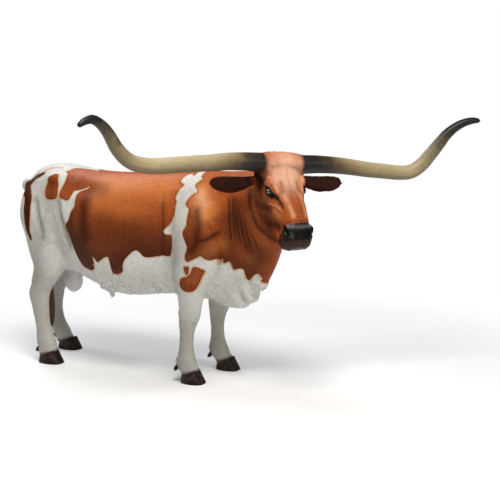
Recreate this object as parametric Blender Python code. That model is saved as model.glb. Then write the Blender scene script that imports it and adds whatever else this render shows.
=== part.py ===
"""A life-size painted resin statue of a longhorn, standing, its head turned to its right.

+X runs from rump to brisket, +Y to the animal's left, +Z up. The sizes below are in metres in the
animal's own frame, with the floor at z = 0 and the backbone over y = 0. At the end everything moves
sideways, so that the origin is the middle of the finished outline, on the floor.
"""
import math

import bmesh
import bpy
import numpy as np
from mathutils import Matrix, Vector

# Build settings
gap = 0.0003
socket_play = 0.0010
body_voxel = 0.013
head_voxel = 0.0075
body_smoothing = 14
head_smoothing = 7
body_triangles = 3050
head_triangles = 1350
section_sides = 40
leg_sides = 24
horn_sides = 11
ear_sides = 12
tail_sides = 8
claw_points = 9
dewclaw_sides = 6

# The head's own frame: the point midway between the horn roots, turned to the animal's right
head_at = Vector((1.262, -0.130, 1.517))
head_turn = math.radians(-39.0)
face_turn = math.radians(-35.5)
face_slope = math.radians(24.4)

# Trunk sections: x, back, belly, half width, height of the widest place
trunk_sections = (
    (-0.876, 1.210, 0.990, 0.045, 1.10),
    (-0.838, 1.315, 0.870, 0.110, 1.12),
    (-0.776, 1.388, 0.770, 0.175, 1.12),
    (-0.690, 1.438, 0.715, 0.230, 1.12),
    (-0.560, 1.454, 0.680, 0.268, 1.12),
    (-0.420, 1.441, 0.655, 0.285, 1.06),
    (-0.300, 1.422, 0.628, 0.310, 1.01),
    (-0.180, 1.411, 0.588, 0.340, 0.99),
    (-0.050, 1.408, 0.545, 0.360, 0.98),
    (0.120, 1.410, 0.538, 0.365, 0.98),
    (0.290, 1.417, 0.563, 0.345, 0.98),
    (0.440, 1.425, 0.572, 0.305, 1.00),
    (0.600, 1.436, 0.562, 0.270, 1.00),
    (0.760, 1.440, 0.555, 0.225, 1.00),
    (0.880, 1.430, 0.620, 0.150, 1.00),
)
trunk_squareness = (2.15, 2.3)

# Neck sections: x, y, top, bottom, half width, turn in degrees, height of the widest place
neck_sections = (
    (0.560, 0.000, 1.425, 0.620, 0.235, 0, 1.02),
    (0.700, 0.000, 1.436, 0.540, 0.225, 0, 1.00),
    (0.820, 0.000, 1.442, 0.512, 0.200, -2, 1.02),
    (0.920, -0.002, 1.446, 0.530, 0.180, -6, 1.08),
    (1.005, -0.010, 1.448, 0.572, 0.168, -12, 1.13),
    (1.080, -0.025, 1.450, 0.653, 0.154, -19, 1.17),
    (1.140, -0.046, 1.452, 0.758, 0.145, -27, 1.21),
    (1.182, -0.070, 1.456, 0.860, 0.130, -33, 1.25),
    (1.215, -0.092, 1.456, 0.930, 0.112, -36, 1.26),
    (1.238, -0.108, 1.430, 0.990, 0.085, -36, 1.26),
)
neck_squareness = (1.9, 1.75)

# The brisket hangs between the forelegs: middle, half sizes
brisket = ((0.856, 0.0, 0.690), (0.210, 0.132, 0.188))

# Limb sections: x, half spread from the backbone, height, half depth, half width
foreleg_sections = (
    (0.520, 0.140, 1.330, 0.120, 0.070),
    (0.575, 0.175, 1.200, 0.160, 0.095),
    (0.640, 0.200, 1.060, 0.180, 0.108),
    (0.685, 0.212, 0.920, 0.185, 0.112),
    (0.672, 0.214, 0.800, 0.172, 0.106),
    (0.640, 0.212, 0.700, 0.138, 0.096),
    (0.629, 0.211, 0.620, 0.103, 0.080),
    (0.626, 0.210, 0.550, 0.085, 0.068),
    (0.620, 0.210, 0.490, 0.078, 0.061),
    (0.613, 0.210, 0.435, 0.070, 0.060),
    (0.603, 0.211, 0.385, 0.059, 0.051),
    (0.597, 0.212, 0.330, 0.051, 0.043),
    (0.594, 0.213, 0.260, 0.050, 0.042),
    (0.593, 0.213, 0.205, 0.057, 0.049),
    (0.592, 0.213, 0.160, 0.070, 0.059),
    (0.601, 0.213, 0.115, 0.074, 0.062),
    (0.624, 0.213, 0.075, 0.068, 0.063),
    (0.631, 0.213, 0.040, 0.062, 0.058),
)
hindleg_sections = (
    (-0.575, 0.120, 1.350, 0.160, 0.085),
    (-0.615, 0.152, 1.230, 0.190, 0.106),
    (-0.626, 0.170, 1.080, 0.190, 0.122),
    (-0.586, 0.180, 0.940, 0.178, 0.124),
    (-0.560, 0.188, 0.820, 0.166, 0.116),
    (-0.557, 0.192, 0.765, 0.147, 0.108),
    (-0.561, 0.196, 0.710, 0.125, 0.098),
    (-0.602, 0.203, 0.625, 0.107, 0.076),
    (-0.630, 0.207, 0.565, 0.088, 0.062),
    (-0.656, 0.208, 0.510, 0.084, 0.057),
    (-0.654, 0.208, 0.450, 0.073, 0.053),
    (-0.647, 0.208, 0.390, 0.065, 0.049),
    (-0.638, 0.208, 0.320, 0.058, 0.046),
    (-0.627, 0.208, 0.260, 0.058, 0.047),
    (-0.613, 0.208, 0.205, 0.066, 0.053),
    (-0.603, 0.208, 0.160, 0.073, 0.060),
    (-0.592, 0.208, 0.110, 0.070, 0.063),
    (-0.588, 0.208, 0.070, 0.071, 0.064),
    (-0.584, 0.208, 0.040, 0.066, 0.060),
)
leg_squareness = 2.2

# How far the left legs stand from the right ones, along x: height, shift
left_fore_shift = ((0.0, 0.041), (0.12, 0.024), (0.20, 0.012), (0.38, 0.003), (0.60, -0.006), (0.75, 0.0))
left_hind_shift = ((0.0, -0.137), (0.10, -0.170), (0.20, -0.204), (0.35, -0.194), (0.50, -0.163),
                   (0.62, -0.114), (0.78, -0.048), (0.95, 0.0))
legs = {
    "foreleg_right": (foreleg_sections, -1, left_fore_shift),
    "foreleg_left": (foreleg_sections, 1, left_fore_shift),
    "hindleg_right": (hindleg_sections, -1, left_hind_shift),
    "hindleg_left": (hindleg_sections, 1, left_hind_shift),
}

# Hoofs: middle of the right hoof's sole, length and width over both claws, height in front and behind
fore_hoof = {"sole": (0.646, 0.213), "length": 0.174, "width": 0.134, "front": 0.100, "heel": 0.058}
hind_hoof = {"sole": (-0.563, 0.208), "length": 0.192, "width": 0.134, "front": 0.100, "heel": 0.060}
left_fore_sole_x = 0.689
left_hind_sole_x = -0.703
soles = {
    "foreleg_right": (fore_hoof, fore_hoof["sole"][0]),
    "foreleg_left": (fore_hoof, left_fore_sole_x),
    "hindleg_right": (hind_hoof, hind_hoof["sole"][0]),
    "hindleg_left": (hind_hoof, left_hind_sole_x),
}
cleft = 0.006
toe_slope = 0.52
claw_bluntness = 0.62
claw_rings = ((0.0, 0.965), (0.006, 1.0), (0.05, 0.97), (0.13, 0.90))
coronet_share = 0.8
coronet_reach = 0.25

# Dewclaws, behind the fetlock: height, spread from the leg's middle, size, root and direction
dewclaw = {"height": 0.098, "spread": 0.030, "radius": 0.016, "length": 0.046, "root": (0.020, 0.0, 0.018),
           "aim": (-0.72, 0.0, -0.70)}

# Tail: points of its middle and its radius there, the switch at the low end
tail_sections = (
    (-0.600, 0.000, 1.362, 0.046),
    (-0.710, 0.000, 1.370, 0.044),
    (-0.786, 0.000, 1.322, 0.041),
    (-0.838, 0.000, 1.250, 0.037),
    (-0.866, 0.000, 1.160, 0.033),
    (-0.870, 0.000, 1.060, 0.030),
    (-0.840, 0.000, 0.950, 0.027),
    (-0.806, 0.003, 0.850, 0.025),
    (-0.785, 0.010, 0.750, 0.024),
    (-0.774, 0.018, 0.650, 0.027),
    (-0.766, 0.026, 0.550, 0.034),
    (-0.758, 0.032, 0.450, 0.039),
    (-0.750, 0.036, 0.350, 0.036),
    (-0.744, 0.038, 0.260, 0.022),
    (-0.742, 0.039, 0.205, 0.007),
)

# Small swellings of the body, on both sides: middle and half sizes
hip_bone = ((-0.485, 0.178, 1.345), (0.090, 0.052, 0.052))
pin_bone = ((-0.790, 0.118, 1.292), (0.060, 0.050, 0.058))
elbow = ((0.512, 0.222, 0.725), (0.055, 0.045, 0.060))
sheath = ((-0.184, 0.0, 0.570), (0.080, 0.034, 0.042))
sheath_tip = ((-0.155, 0.0, 0.518), (0.026, 0.020, 0.040))
scrotum = ((-0.499, 0.0, 0.592), (0.076, 0.058, 0.096))
scrotum_neck = ((-0.497, 0.0, 0.700), (0.064, 0.044, 0.080))

# Head sections along the face from the poll: distance, front, back, half width, narrowing, squareness
head_sections = (
    (-0.062, 0.020, -0.045, 0.120, 0.00, 2.2),
    (-0.040, 0.048, -0.085, 0.158, 0.00, 2.4),
    (0.000, 0.056, -0.150, 0.164, 0.06, 2.6),
    (0.050, 0.053, -0.225, 0.148, 0.08, 2.8),
    (0.110, 0.051, -0.280, 0.134, 0.08, 2.9),
    (0.170, 0.052, -0.298, 0.137, 0.04, 3.0),
    (0.215, 0.056, -0.296, 0.135, 0.00, 3.0),
    (0.265, 0.070, -0.288, 0.123, -0.05, 3.1),
    (0.320, 0.087, -0.262, 0.108, -0.09, 3.2),
    (0.375, 0.098, -0.222, 0.096, -0.08, 3.2),
    (0.425, 0.099, -0.182, 0.090, -0.03, 3.1),
    (0.470, 0.092, -0.142, 0.092, 0.00, 3.0),
    (0.515, 0.079, -0.104, 0.096, 0.02, 3.3),
    (0.548, 0.064, -0.074, 0.093, 0.00, 3.3),
    (0.568, 0.045, -0.054, 0.080, 0.00, 3.0),
    (0.580, 0.020, -0.034, 0.052, 0.00, 2.4),
)
# Head swellings, both sides, in (left, along, forward) of the face
brow = ((0.113, 0.138, 0.000), (0.034, 0.040, 0.034))
horn_root = ((0.115, 0.035, -0.012), (0.060, 0.070, 0.058))
cheek = ((0.078, 0.235, -0.165), (0.052, 0.110, 0.100))
nostril_rim = ((0.064, 0.478, 0.044), (0.032, 0.046, 0.036))
nostril = ((0.082, 0.484, 0.062), (0.016, 0.026, 0.020))
eye_socket_at = (0.1275, 0.1880, -0.0160)
eye_radius = 0.0225
poll_swelling = ((0.0, -0.012, 0.0), (0.125, 0.050, 0.055))

# Horns: distance out from the middle of the head, height over the horn roots, radius
horn_out = (0.168, 0.26, 0.38, 0.50, 0.62, 0.74, 0.86, 0.95, 1.02, 1.08, 1.13, 1.18, 1.23, 1.285, 1.34, 1.385)
horn_radius = (0.061, 0.058, 0.055, 0.053, 0.051, 0.050, 0.049, 0.048, 0.0465, 0.044, 0.041, 0.036, 0.031,
               0.027, 0.022, 0.013)
left_horn_up = (-0.016, -0.017, -0.026, -0.041, -0.060, -0.074, -0.087, -0.083, -0.042, 0.028, 0.094, 0.162,
                0.210, 0.244, 0.260, 0.258)
right_horn_up = (0.008, 0.015, 0.018, 0.012, 0.010, 0.006, 0.003, 0.012, 0.032, 0.073, 0.130, 0.210,
                 0.262, 0.290, 0.280, 0.252)
horn_lean = 0.043
horn_sweep = 0.17
sweep_from = 0.90
sweep_over = 0.50
horn_stub_radius = 0.064
horn_stub_out = (0.0, 0.07, 0.13, 0.20)
horn_up = {1: left_horn_up, -1: right_horn_up}

# Ears: middle line in the head's frame (left, forward, up), half width and thickness along it
ear_line = ((0.105, -0.085, -0.105), (0.165, -0.085, -0.118), (0.235, -0.068, -0.130),
            (0.320, -0.050, -0.134), (0.400, -0.045, -0.122), (0.455, -0.048, -0.104),
            (0.478, -0.050, -0.094))
ear_drop = {1: 0.038, -1: 0.0}
ear_half_width = (0.026, 0.032, 0.043, 0.048, 0.037, 0.019, 0.006)
ear_thickness = (0.026, 0.022, 0.016, 0.013, 0.011, 0.009, 0.005)
ear_cup = (0.000, 0.006, 0.020, 0.026, 0.020, 0.008, 0.000)

# Where the body parts into pieces. Legs: back and front of the space round them, inner side, top
neck_cut_top = (0.620, 1.470)
neck_cut_low = (0.985, 0.560)
head_cut_back = -0.300
head_cut_top = -0.135
leg_cuts = {"foreleg": (0.478, 0.830, 0.105, 0.665), "hindleg": (-1.10, -0.36, 0.064, 0.745)}
scrotum_cut = (-0.70, -0.43, 0.30, 0.690)
head_block_reach = 0.40
outer_reach = 1.6
front_block_size = (1.6, 1.2)
leg_block_reach = 0.6

colours = {
    "coat_white": ((0.62, 0.60, 0.54), 0.55),
    "coat_brown": ((0.30, 0.09, 0.03), 0.5),
    "hoof_black": ((0.03, 0.02, 0.018), 0.35),
    "horn_cream": ((0.55, 0.46, 0.31), 0.35),
    "eye_dark": ((0.02, 0.012, 0.008), 0.08),
}

slots = {"head": "coat_brown", "neck": "coat_brown", "ear": "coat_brown", "horn": "horn_cream",
         "eye": "eye_dark", "claw": "hoof_black"}


def material(name):
    """A plain painted finish."""
    found = bpy.data.materials.get(name)
    if found:
        return found
    made = bpy.data.materials.new(name)
    made.use_nodes = True
    shader = made.node_tree.nodes["Principled BSDF"]
    colour, roughness = colours[name]
    shader.inputs["Base Color"].default_value = (*colour, 1.0)
    shader.inputs["Roughness"].default_value = roughness
    shader.inputs["Metallic"].default_value = 0.0
    return made


def head_point(left, forward, up, turn=head_turn):
    """A point given in the head's own frame, in the animal's frame. The horns and ears follow head_turn."""
    turned = Matrix.Rotation(turn, 3, "Z") @ Vector((forward, left, 0.0))
    return head_at + turned + Vector((0.0, 0.0, up))


def face_point(left, along, front):
    """A point of the face: left of the middle, along the face from the poll, and out of it."""
    forward = along * math.sin(face_slope) + front * math.cos(face_slope)
    up = front * math.sin(face_slope) - along * math.cos(face_slope)
    return head_point(left, forward, up, face_turn)


def finer(rows, times):
    """Rows of numbers with smooth steps put between them: a Catmull-Rom curve through each column."""
    rows = np.array(rows, dtype=float)
    before = np.vstack([2 * rows[0] - rows[1], rows[:-1]])
    after = np.vstack([rows[1:], 2 * rows[-1] - rows[-2]])
    slope = (after - before) / 2
    out = []
    for i in range(len(rows) - 1):
        for k in range(times):
            t = k / times
            a = 2 * t ** 3 - 3 * t ** 2 + 1
            b = t ** 3 - 2 * t ** 2 + t
            out.append(a * rows[i] + b * slope[i] + (1 - a) * rows[i + 1] + (t ** 3 - t ** 2) * slope[i + 1])
    out.append(rows[-1])
    return np.array(out)


def rounded(angle, squareness):
    """Cosine and sine of a superellipse, which is a circle at squareness 2 and boxier above it."""
    c, s = np.cos(angle), np.sin(angle)
    power = 2.0 / squareness
    return np.sign(c) * np.abs(c) ** power, np.sign(s) * np.abs(s) ** power


def around(count):
    return np.arange(count) * 2 * math.pi / count


def shell(rings):
    """A closed tube through rings of points, as points and faces."""
    rings = [np.asarray(ring) for ring in rings]
    n = len(rings[0])
    points = np.concatenate(rings)
    faces = []
    for r in range(len(rings) - 1):
        for k in range(n):
            j = (k + 1) % n
            faces.append((r * n + k, r * n + j, (r + 1) * n + j, (r + 1) * n + k))
    last = (len(rings) - 1) * n
    faces.append(tuple(range(n - 1, -1, -1)))
    faces.append(tuple(range(last, last + n)))
    return points, faces


def trunk_shell():
    rings = []
    angle = around(section_sides)
    for x, top, bottom, half, wide in finer(trunk_sections, 3):
        across, upper = rounded(angle, trunk_squareness[0])
        low_across, lower = rounded(angle, trunk_squareness[1])
        y = half * np.where(upper > 0, across, low_across)
        z = np.where(upper > 0, wide + (top - wide) * upper, wide + (wide - bottom) * lower)
        rings.append(np.column_stack([np.full(len(angle), x), y, z]))
    return shell(rings)


def neck_shell():
    rings = []
    angle = around(section_sides)
    for x, y, top, bottom, half, turn, wide in finer(neck_sections, 3):
        across, upper = rounded(angle, neck_squareness[0])
        low_across, lower = rounded(angle, neck_squareness[1])
        side = half * np.where(upper > 0, across, low_across)
        z = np.where(upper > 0, wide + (top - wide) * upper, wide + (wide - bottom) * lower)
        bend = math.radians(turn)
        rings.append(np.column_stack([x - side * math.sin(bend), y + side * math.cos(bend), z]))
    return shell(rings)


def shift_at(table, side, height):
    """How far a leg of this side stands from the right one, along x, at this height."""
    heights, shifts = zip(*table)
    return float(np.interp(height, heights, shifts)) if side > 0 else 0.0


def leg_shell(sections, side, shift):
    """A leg of level sections. side is -1 for the right leg and 1 for the left one."""
    rings = []
    along, across = rounded(around(leg_sides), leg_squareness)
    for x, spread, z, depth, half in finer(sections, 2):
        move = shift_at(shift, side, z)
        rings.append(np.column_stack([x + move + depth * along, side * spread + half * across,
                                      np.full(len(along), z)]))
    return shell(rings)


def frames_along(path):
    """Two directions across a path at each of its points, turning as little as they can."""
    path = np.asarray(path)
    run = np.gradient(path, axis=0)
    run /= np.linalg.norm(run, axis=1)[:, None]
    side = np.cross(run[0], (0.0, 1.0, 0.0) if abs(run[0][1]) < 0.9 else (1.0, 0.0, 0.0))
    firsts, seconds = [], []
    for step in run:
        side = side - step * np.dot(side, step)
        side /= np.linalg.norm(side)
        firsts.append(side.copy())
        seconds.append(np.cross(step, side))
    return np.array(firsts), np.array(seconds)


def tube_shell(path, radii, count):
    """A tube of round rings along a path."""
    angle = around(count)[:, None]
    rings = []
    for point, radius, first, second in zip(path, radii, *frames_along(path)):
        rings.append(point + radius * (np.cos(angle) * first + np.sin(angle) * second))
    return shell(rings)


def tail_shell(grow=0.0):
    """The tail, or with grow the bed it lies in, which reaches that much further all round."""
    rows = np.array(tail_sections)
    ahead = rows[0, :3] - rows[1, :3]
    rows[0, :3] += ahead * grow / np.linalg.norm(ahead)
    return tube_shell(rows[:, :3], rows[:, 3] + grow, tail_sides)


def head_shell():
    rings = []
    angle = around(section_sides)
    for along, front, back, half, narrowing, squareness in finer(head_sections, 3):
        across, depth = rounded(angle, squareness)
        middle, reach = (front + back) / 2, (front - back) / 2
        left = half * across * (1 + narrowing * depth)
        ring = [face_point(a, along, middle + reach * d) for a, d in zip(left, depth)]
        rings.append(np.array([tuple(p) for p in ring]))
    return shell(rings)


def ball_shell(centre, half_sizes, place=None, rings=12, count=20):
    """An egg shape. place turns its local points into the animal's frame."""
    out = []
    for polar in np.linspace(0, math.pi, rings + 2)[1:-1]:
        angle = around(count)
        local = np.column_stack([np.sin(polar) * np.cos(angle), np.sin(polar) * np.sin(angle),
                                 np.full(count, -np.cos(polar))]) * half_sizes + centre
        out.append(local if place is None else np.array([tuple(place(*p)) for p in local]))
    return shell(out)


def both_sides(swelling, place=None):
    (x, y, z), sizes = swelling
    if place is None:
        return [ball_shell((x, side * y, z), sizes) for side in (-1, 1)]
    return [ball_shell((side * x, y, z), sizes, place) for side in (-1, 1)]


def horn_path(side):
    """The middle line of a horn: out and level, forward and up at the bend, and level to its tip."""
    rows = finer(np.column_stack([horn_out, horn_up[side], horn_radius]), 2)
    out, up, radius = rows.T
    ahead = horn_lean * out + horn_sweep * np.clip((out - sweep_from) / sweep_over, 0, 2) ** 1.5
    path = [tuple(head_point(side * o, f, u)) for o, f, u in zip(out, ahead, up)]
    return np.array(path), radius


def horn_stub(side):
    """A short round root under each horn, from the middle of the head."""
    rise = horn_up[side][0] / horn_out[0]
    path = [tuple(head_point(side * out, horn_lean * out, rise * out)) for out in horn_stub_out]
    return tube_shell(path, [horn_stub_radius] * len(path), leg_sides)


def ear_shell(side, grow=0.0):
    """A cupped leaf: flat rings across the ear's middle line, hollow on the face side."""
    rows = finer(np.column_stack([ear_line, ear_half_width, ear_thickness, ear_cup]), 2)
    rows[0, 0] -= grow
    angle = around(ear_sides)
    rings = []
    for left, forward, up, half, thick, cup in rows:
        drop = ear_drop[side] * (left - ear_line[0][0]) / (ear_line[-1][0] - ear_line[0][0])
        across = np.cos(angle)
        bowl = -cup * (1 - across ** 2)
        front = bowl + (thick / 2 + grow) * np.sin(angle)
        height = up - drop + (half + grow) * across
        ring = [tuple(head_point(side * left, forward + f, h)) for f, h in zip(front, height)]
        rings.append(np.array(ring))
    return shell(rings)


def mesh_object(name, pieces):
    """One object from several shells, each turned to face out."""
    bm = bmesh.new()
    for points, faces in pieces:
        made = [bm.verts.new(tuple(p)) for p in points]
        for face in faces:
            bm.faces.new([made[i] for i in face])
    # the same diagonals on a piece and on the bed cut for it
    bmesh.ops.triangulate(bm, faces=bm.faces, quad_method="FIXED", ngon_method="EAR_CLIP")
    bmesh.ops.recalc_face_normals(bm, faces=bm.faces)
    mesh = bpy.data.meshes.new(name)
    bm.to_mesh(mesh)
    bm.free()
    made = bpy.data.objects.new(name, mesh)
    bpy.context.collection.objects.link(made)
    return made


def evaluated_copy(source, name):
    """The object as its modifiers leave it, as a plain object; the source is removed."""
    graph = bpy.context.evaluated_depsgraph_get()
    mesh = bpy.data.meshes.new_from_object(source.evaluated_get(graph))
    mesh.name = name
    made = bpy.data.objects.new(name, mesh)
    bpy.context.collection.objects.link(made)
    bpy.data.objects.remove(source)
    return made


def moulded(name, pieces, voxel, smoothing, triangles):
    """Shells run together into one smooth skin of about so many triangles."""
    made = mesh_object(name, pieces)
    remesh = made.modifiers.new("run together", "REMESH")
    remesh.mode = "VOXEL"
    remesh.voxel_size = voxel
    smooth = made.modifiers.new("smooth", "SMOOTH")
    smooth.factor = 0.5
    smooth.iterations = smoothing
    whole = evaluated_copy(made, name)
    count = sum(len(face.vertices) - 2 for face in whole.data.polygons)
    thin = whole.modifiers.new("fewer faces", "DECIMATE")
    thin.ratio = triangles / count
    return evaluated_copy(whole, name)


def wedge(name, corner_points):
    """A cutter: the convex body around its corner points."""
    bm = bmesh.new()
    made = [bm.verts.new(p) for p in corner_points]
    bmesh.ops.convex_hull(bm, input=made)
    bmesh.ops.recalc_face_normals(bm, faces=bm.faces)
    mesh = bpy.data.meshes.new(name)
    bm.to_mesh(mesh)
    bm.free()
    cutter = bpy.data.objects.new(name, mesh)
    bpy.context.collection.objects.link(cutter)
    return as_cutter(cutter)


def as_cutter(made):
    made.hide_render = True
    made.display_type = "WIRE"
    return made


def box_corners(low, high, place=lambda *point: Vector(point)):
    """The corners of a box from its lowest and highest points. place turns them into the animal's frame."""
    return [place(x, y, z) for x in (low[0], high[0]) for y in (low[1], high[1]) for z in (low[2], high[2])]


def cut(source, cutters, operation, name):
    """The source after a Boolean with each cutter in turn, as a new plain object."""
    copy = bpy.data.objects.new(name, source.data.copy())
    bpy.context.collection.objects.link(copy)
    for cutter in cutters:
        step = copy.modifiers.new("cut", "BOOLEAN")
        step.operation = operation
        step.object = cutter
        step.solver = "EXACT"
    return evaluated_copy(copy, name)


def finish(made, slot, sharp_angle=50.0):
    made.data.materials.clear()
    made.data.materials.append(material(slot))
    made.data.shade_smooth()
    made.data.set_sharp_from_angle(angle=math.radians(sharp_angle))
    return made


def largest_body(made):
    """Drops the crumbs that a cut can leave, and welds points closer than a hair."""
    bm = bmesh.new()
    bm.from_mesh(made.data)
    bmesh.ops.remove_doubles(bm, verts=bm.verts, dist=0.00002)
    bmesh.ops.dissolve_degenerate(bm, edges=bm.edges, dist=0.00002)
    bm.verts.ensure_lookup_table()
    seen, bodies = set(), []
    for start in bm.verts:
        if start in seen:
            continue
        body, todo = [], [start]
        seen.add(start)
        while todo:
            vert = todo.pop()
            body.append(vert)
            for edge in vert.link_edges:
                other = edge.other_vert(vert)
                if other not in seen:
                    seen.add(other)
                    todo.append(other)
        bodies.append(body)
    bodies.sort(key=len)
    crumbs = [vert for body in bodies[:-1] for vert in body]
    bmesh.ops.delete(bm, geom=crumbs, context="VERTS")
    bmesh.ops.triangulate(bm, faces=bm.faces)
    bm.to_mesh(made.data)
    bm.free()
    return made


def under_coronet(hoof, sole_x, side, lift):
    """Everything under the coronet, which slopes from the toe down to the heel."""
    slope = (hoof["front"] - hoof["heel"]) / (hoof["length"] * coronet_share)
    middle = (hoof["front"] + hoof["heel"]) / 2 + lift
    across = side * hoof["sole"][1]
    corners = []
    for along in (-coronet_reach, coronet_reach):
        for y in (across - coronet_reach / 2, across + coronet_reach / 2):
            corners.append((sole_x + along, y, middle + slope * along))
            corners.append((sole_x + along, y, -coronet_reach))
    return wedge("under_coronet", corners)


def claw(name, hoof, sole_x, side, half):
    """One claw: a half oval wall on a flat sole, with a sloping toe, cut off level with the coronet.

    half is 1 for the claw on the animal's left of the cleft and -1 for the other."""
    angle = np.linspace(-math.pi / 2, math.pi / 2, claw_points)
    rings = []
    for z, size in claw_rings:
        # a blunt toe in front, which slopes back to the coronet, and a round upright heel behind
        heel = -hoof["length"] / 2 * size
        toe = hoof["length"] / 2 * size - toe_slope * z
        x = sole_x + heel + (toe - heel) * (1 + np.sin(angle)) / 2
        y = cleft / 2 + (hoof["width"] - cleft) / 2 * size * np.cos(angle) ** claw_bluntness
        y[0] = y[-1] = cleft / 2
        rings.append(np.column_stack([x, side * hoof["sole"][1] + half * y, np.full(len(angle), z)]))
    blank = mesh_object(name + "_blank", [shell(rings)])
    made = cut(blank, [under_coronet(hoof, sole_x, side, -gap)], "INTERSECT", name)
    bpy.data.objects.remove(blank)
    return made


def dewclaw_shell(place, grow):
    """A blunt cone that points down and back from its place behind the fetlock."""
    radius, length = dewclaw["radius"] + grow, dewclaw["length"] + grow
    start = Vector(place) + Vector(dewclaw["root"])
    aim = Vector(dewclaw["aim"]).normalized()
    steps = ((-grow / length, 0.85), (0.35, 1.0), (0.75, 0.85), (1.0, 0.45))
    path = [tuple(start + aim * (share * length)) for share, size in steps]
    return tube_shell(path, [size * radius for share, size in steps], dewclaw_sides)


def eye_ball(name, side, radius):
    left, along, front = eye_socket_at
    return mesh_object(name, [ball_shell((side * left, along, front), (radius,) * 3, face_point, 5, 10)])


def head_block(grow):
    """All of the head in front of its cut from the neck."""
    low = (-head_block_reach, head_cut_top - grow, head_cut_back - grow)
    high = (head_block_reach, 2 * head_block_reach, head_block_reach)
    return wedge("head_block", box_corners(low, high, face_point))


def outer_block(side, start):
    """All that lies further out than the horn root, on one side of the head."""
    ends = sorted((side * start, side * outer_reach))
    return wedge("outer_block", box_corners((ends[0], -outer_reach, -outer_reach),
                                            (ends[1], outer_reach, outer_reach), head_point))


def front_block(grow):
    """All of the body in front of the slanting cut between neck and trunk."""
    top = Vector((neck_cut_top[0], 0.0, neck_cut_top[1]))
    low = Vector((neck_cut_low[0], 0.0, neck_cut_low[1]))
    run = (low - top).normalized()
    ahead = Vector((-run.z, 0.0, run.x))
    ends = [top - ahead * grow - run, low - ahead * grow + run]
    reach = (front_block_size[0], front_block_size[1] / 2)
    return wedge("front_block", [end + Vector((along, across, 0.0)) for end in ends
                                 for along in (0.0, reach[0]) for across in (-reach[1], reach[1])])


def leg_block(leg, grow):
    """The space round one leg under its cut from the trunk."""
    side = -1 if leg.endswith("right") else 1
    low_x, high_x, inner, top = leg_cuts[leg.split("_")[0]]
    ends = sorted((side * (inner - grow), side * leg_block_reach))
    return wedge("leg_block", box_corners((low_x, ends[0], -leg_block_reach), (high_x, ends[1], top + grow)))


def scrotum_block(grow):
    """The space between the hind legs' cuts, up to the scrotum's own."""
    back, front, low, top = scrotum_cut
    half = leg_cuts["hindleg"][2] - gap + grow
    return wedge("scrotum_block", box_corners((back, -half, low), (front, half, top + grow)))


def build_head(front):
    """The head, cut from its neck, with its horn roots cut square and its ears, eyes and nostrils let in."""
    whole = cut(front, [head_block(0.0)], "INTERSECT", "whole")
    holes = []
    for side in (-1, 1):
        (left, along, out), sizes = nostril
        hole = ball_shell((side * left, along, out), sizes, face_point, 7, 10)
        holes.append(outer_block(side, horn_out[0]))
        holes.append(as_cutter(mesh_object("ear_socket", [ear_shell(side, socket_play)])))
        holes.append(as_cutter(mesh_object("nostril", [hole])))
        holes.append(as_cutter(eye_ball("eye_socket", side, eye_radius + socket_play)))
    head = cut(whole, holes, "DIFFERENCE", "head")
    bpy.data.objects.remove(whole)
    return head


def build_horn(name, side):
    """A horn, which starts square at its root."""
    path, radius = horn_path(side)
    blank = mesh_object(name + "_blank", [tube_shell(path, radius, horn_sides)])
    horn = cut(blank, [outer_block(side, horn_out[0] + gap)], "INTERSECT", name)
    bpy.data.objects.remove(blank)
    return horn


def build_leg(leg, trunk):
    """A leg with its claws and dewclaws, as a table of named pieces."""
    sections, side, shift = legs[leg]
    hoof, sole_x = soles[leg]
    nearest = min(sections, key=lambda row: abs(row[2] - dewclaw["height"]))
    back = nearest[0] - nearest[3] + shift_at(shift, side, dewclaw["height"])
    pieces = {}
    beds = [under_coronet(hoof, sole_x, side, 0.0)]
    for half, word in ((-1, "a"), (1, "b")):
        place = (back, side * hoof["sole"][1] + half * dewclaw["spread"], dewclaw["height"])
        name = leg + "_dewclaw_" + word
        pieces[name] = mesh_object(name, [dewclaw_shell(place, 0.0)])
        beds.append(as_cutter(mesh_object("dewclaw_bed", [dewclaw_shell(place, socket_play)])))
        name = leg + "_claw_" + word
        pieces[name] = claw(name, hoof, sole_x, side, half)
    whole = cut(trunk, [leg_block(leg, 0.0)], "INTERSECT", leg)
    pieces[leg] = cut(whole, beds, "DIFFERENCE", leg)
    bpy.data.objects.remove(whole)
    return pieces


def move_to_middle(made):
    """Moves every mesh so that the origin is under the middle of the whole outline."""
    low = np.min([np.min([v.co[:] for v in obj.data.vertices], axis=0) for obj in made], axis=0)
    high = np.max([np.max([v.co[:] for v in obj.data.vertices], axis=0) for obj in made], axis=0)
    middle = (low + high) / 2
    shift = Matrix.Translation((-middle[0], -middle[1], 0.0))
    for obj in bpy.data.objects:
        obj.data.transform(shift)


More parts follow.
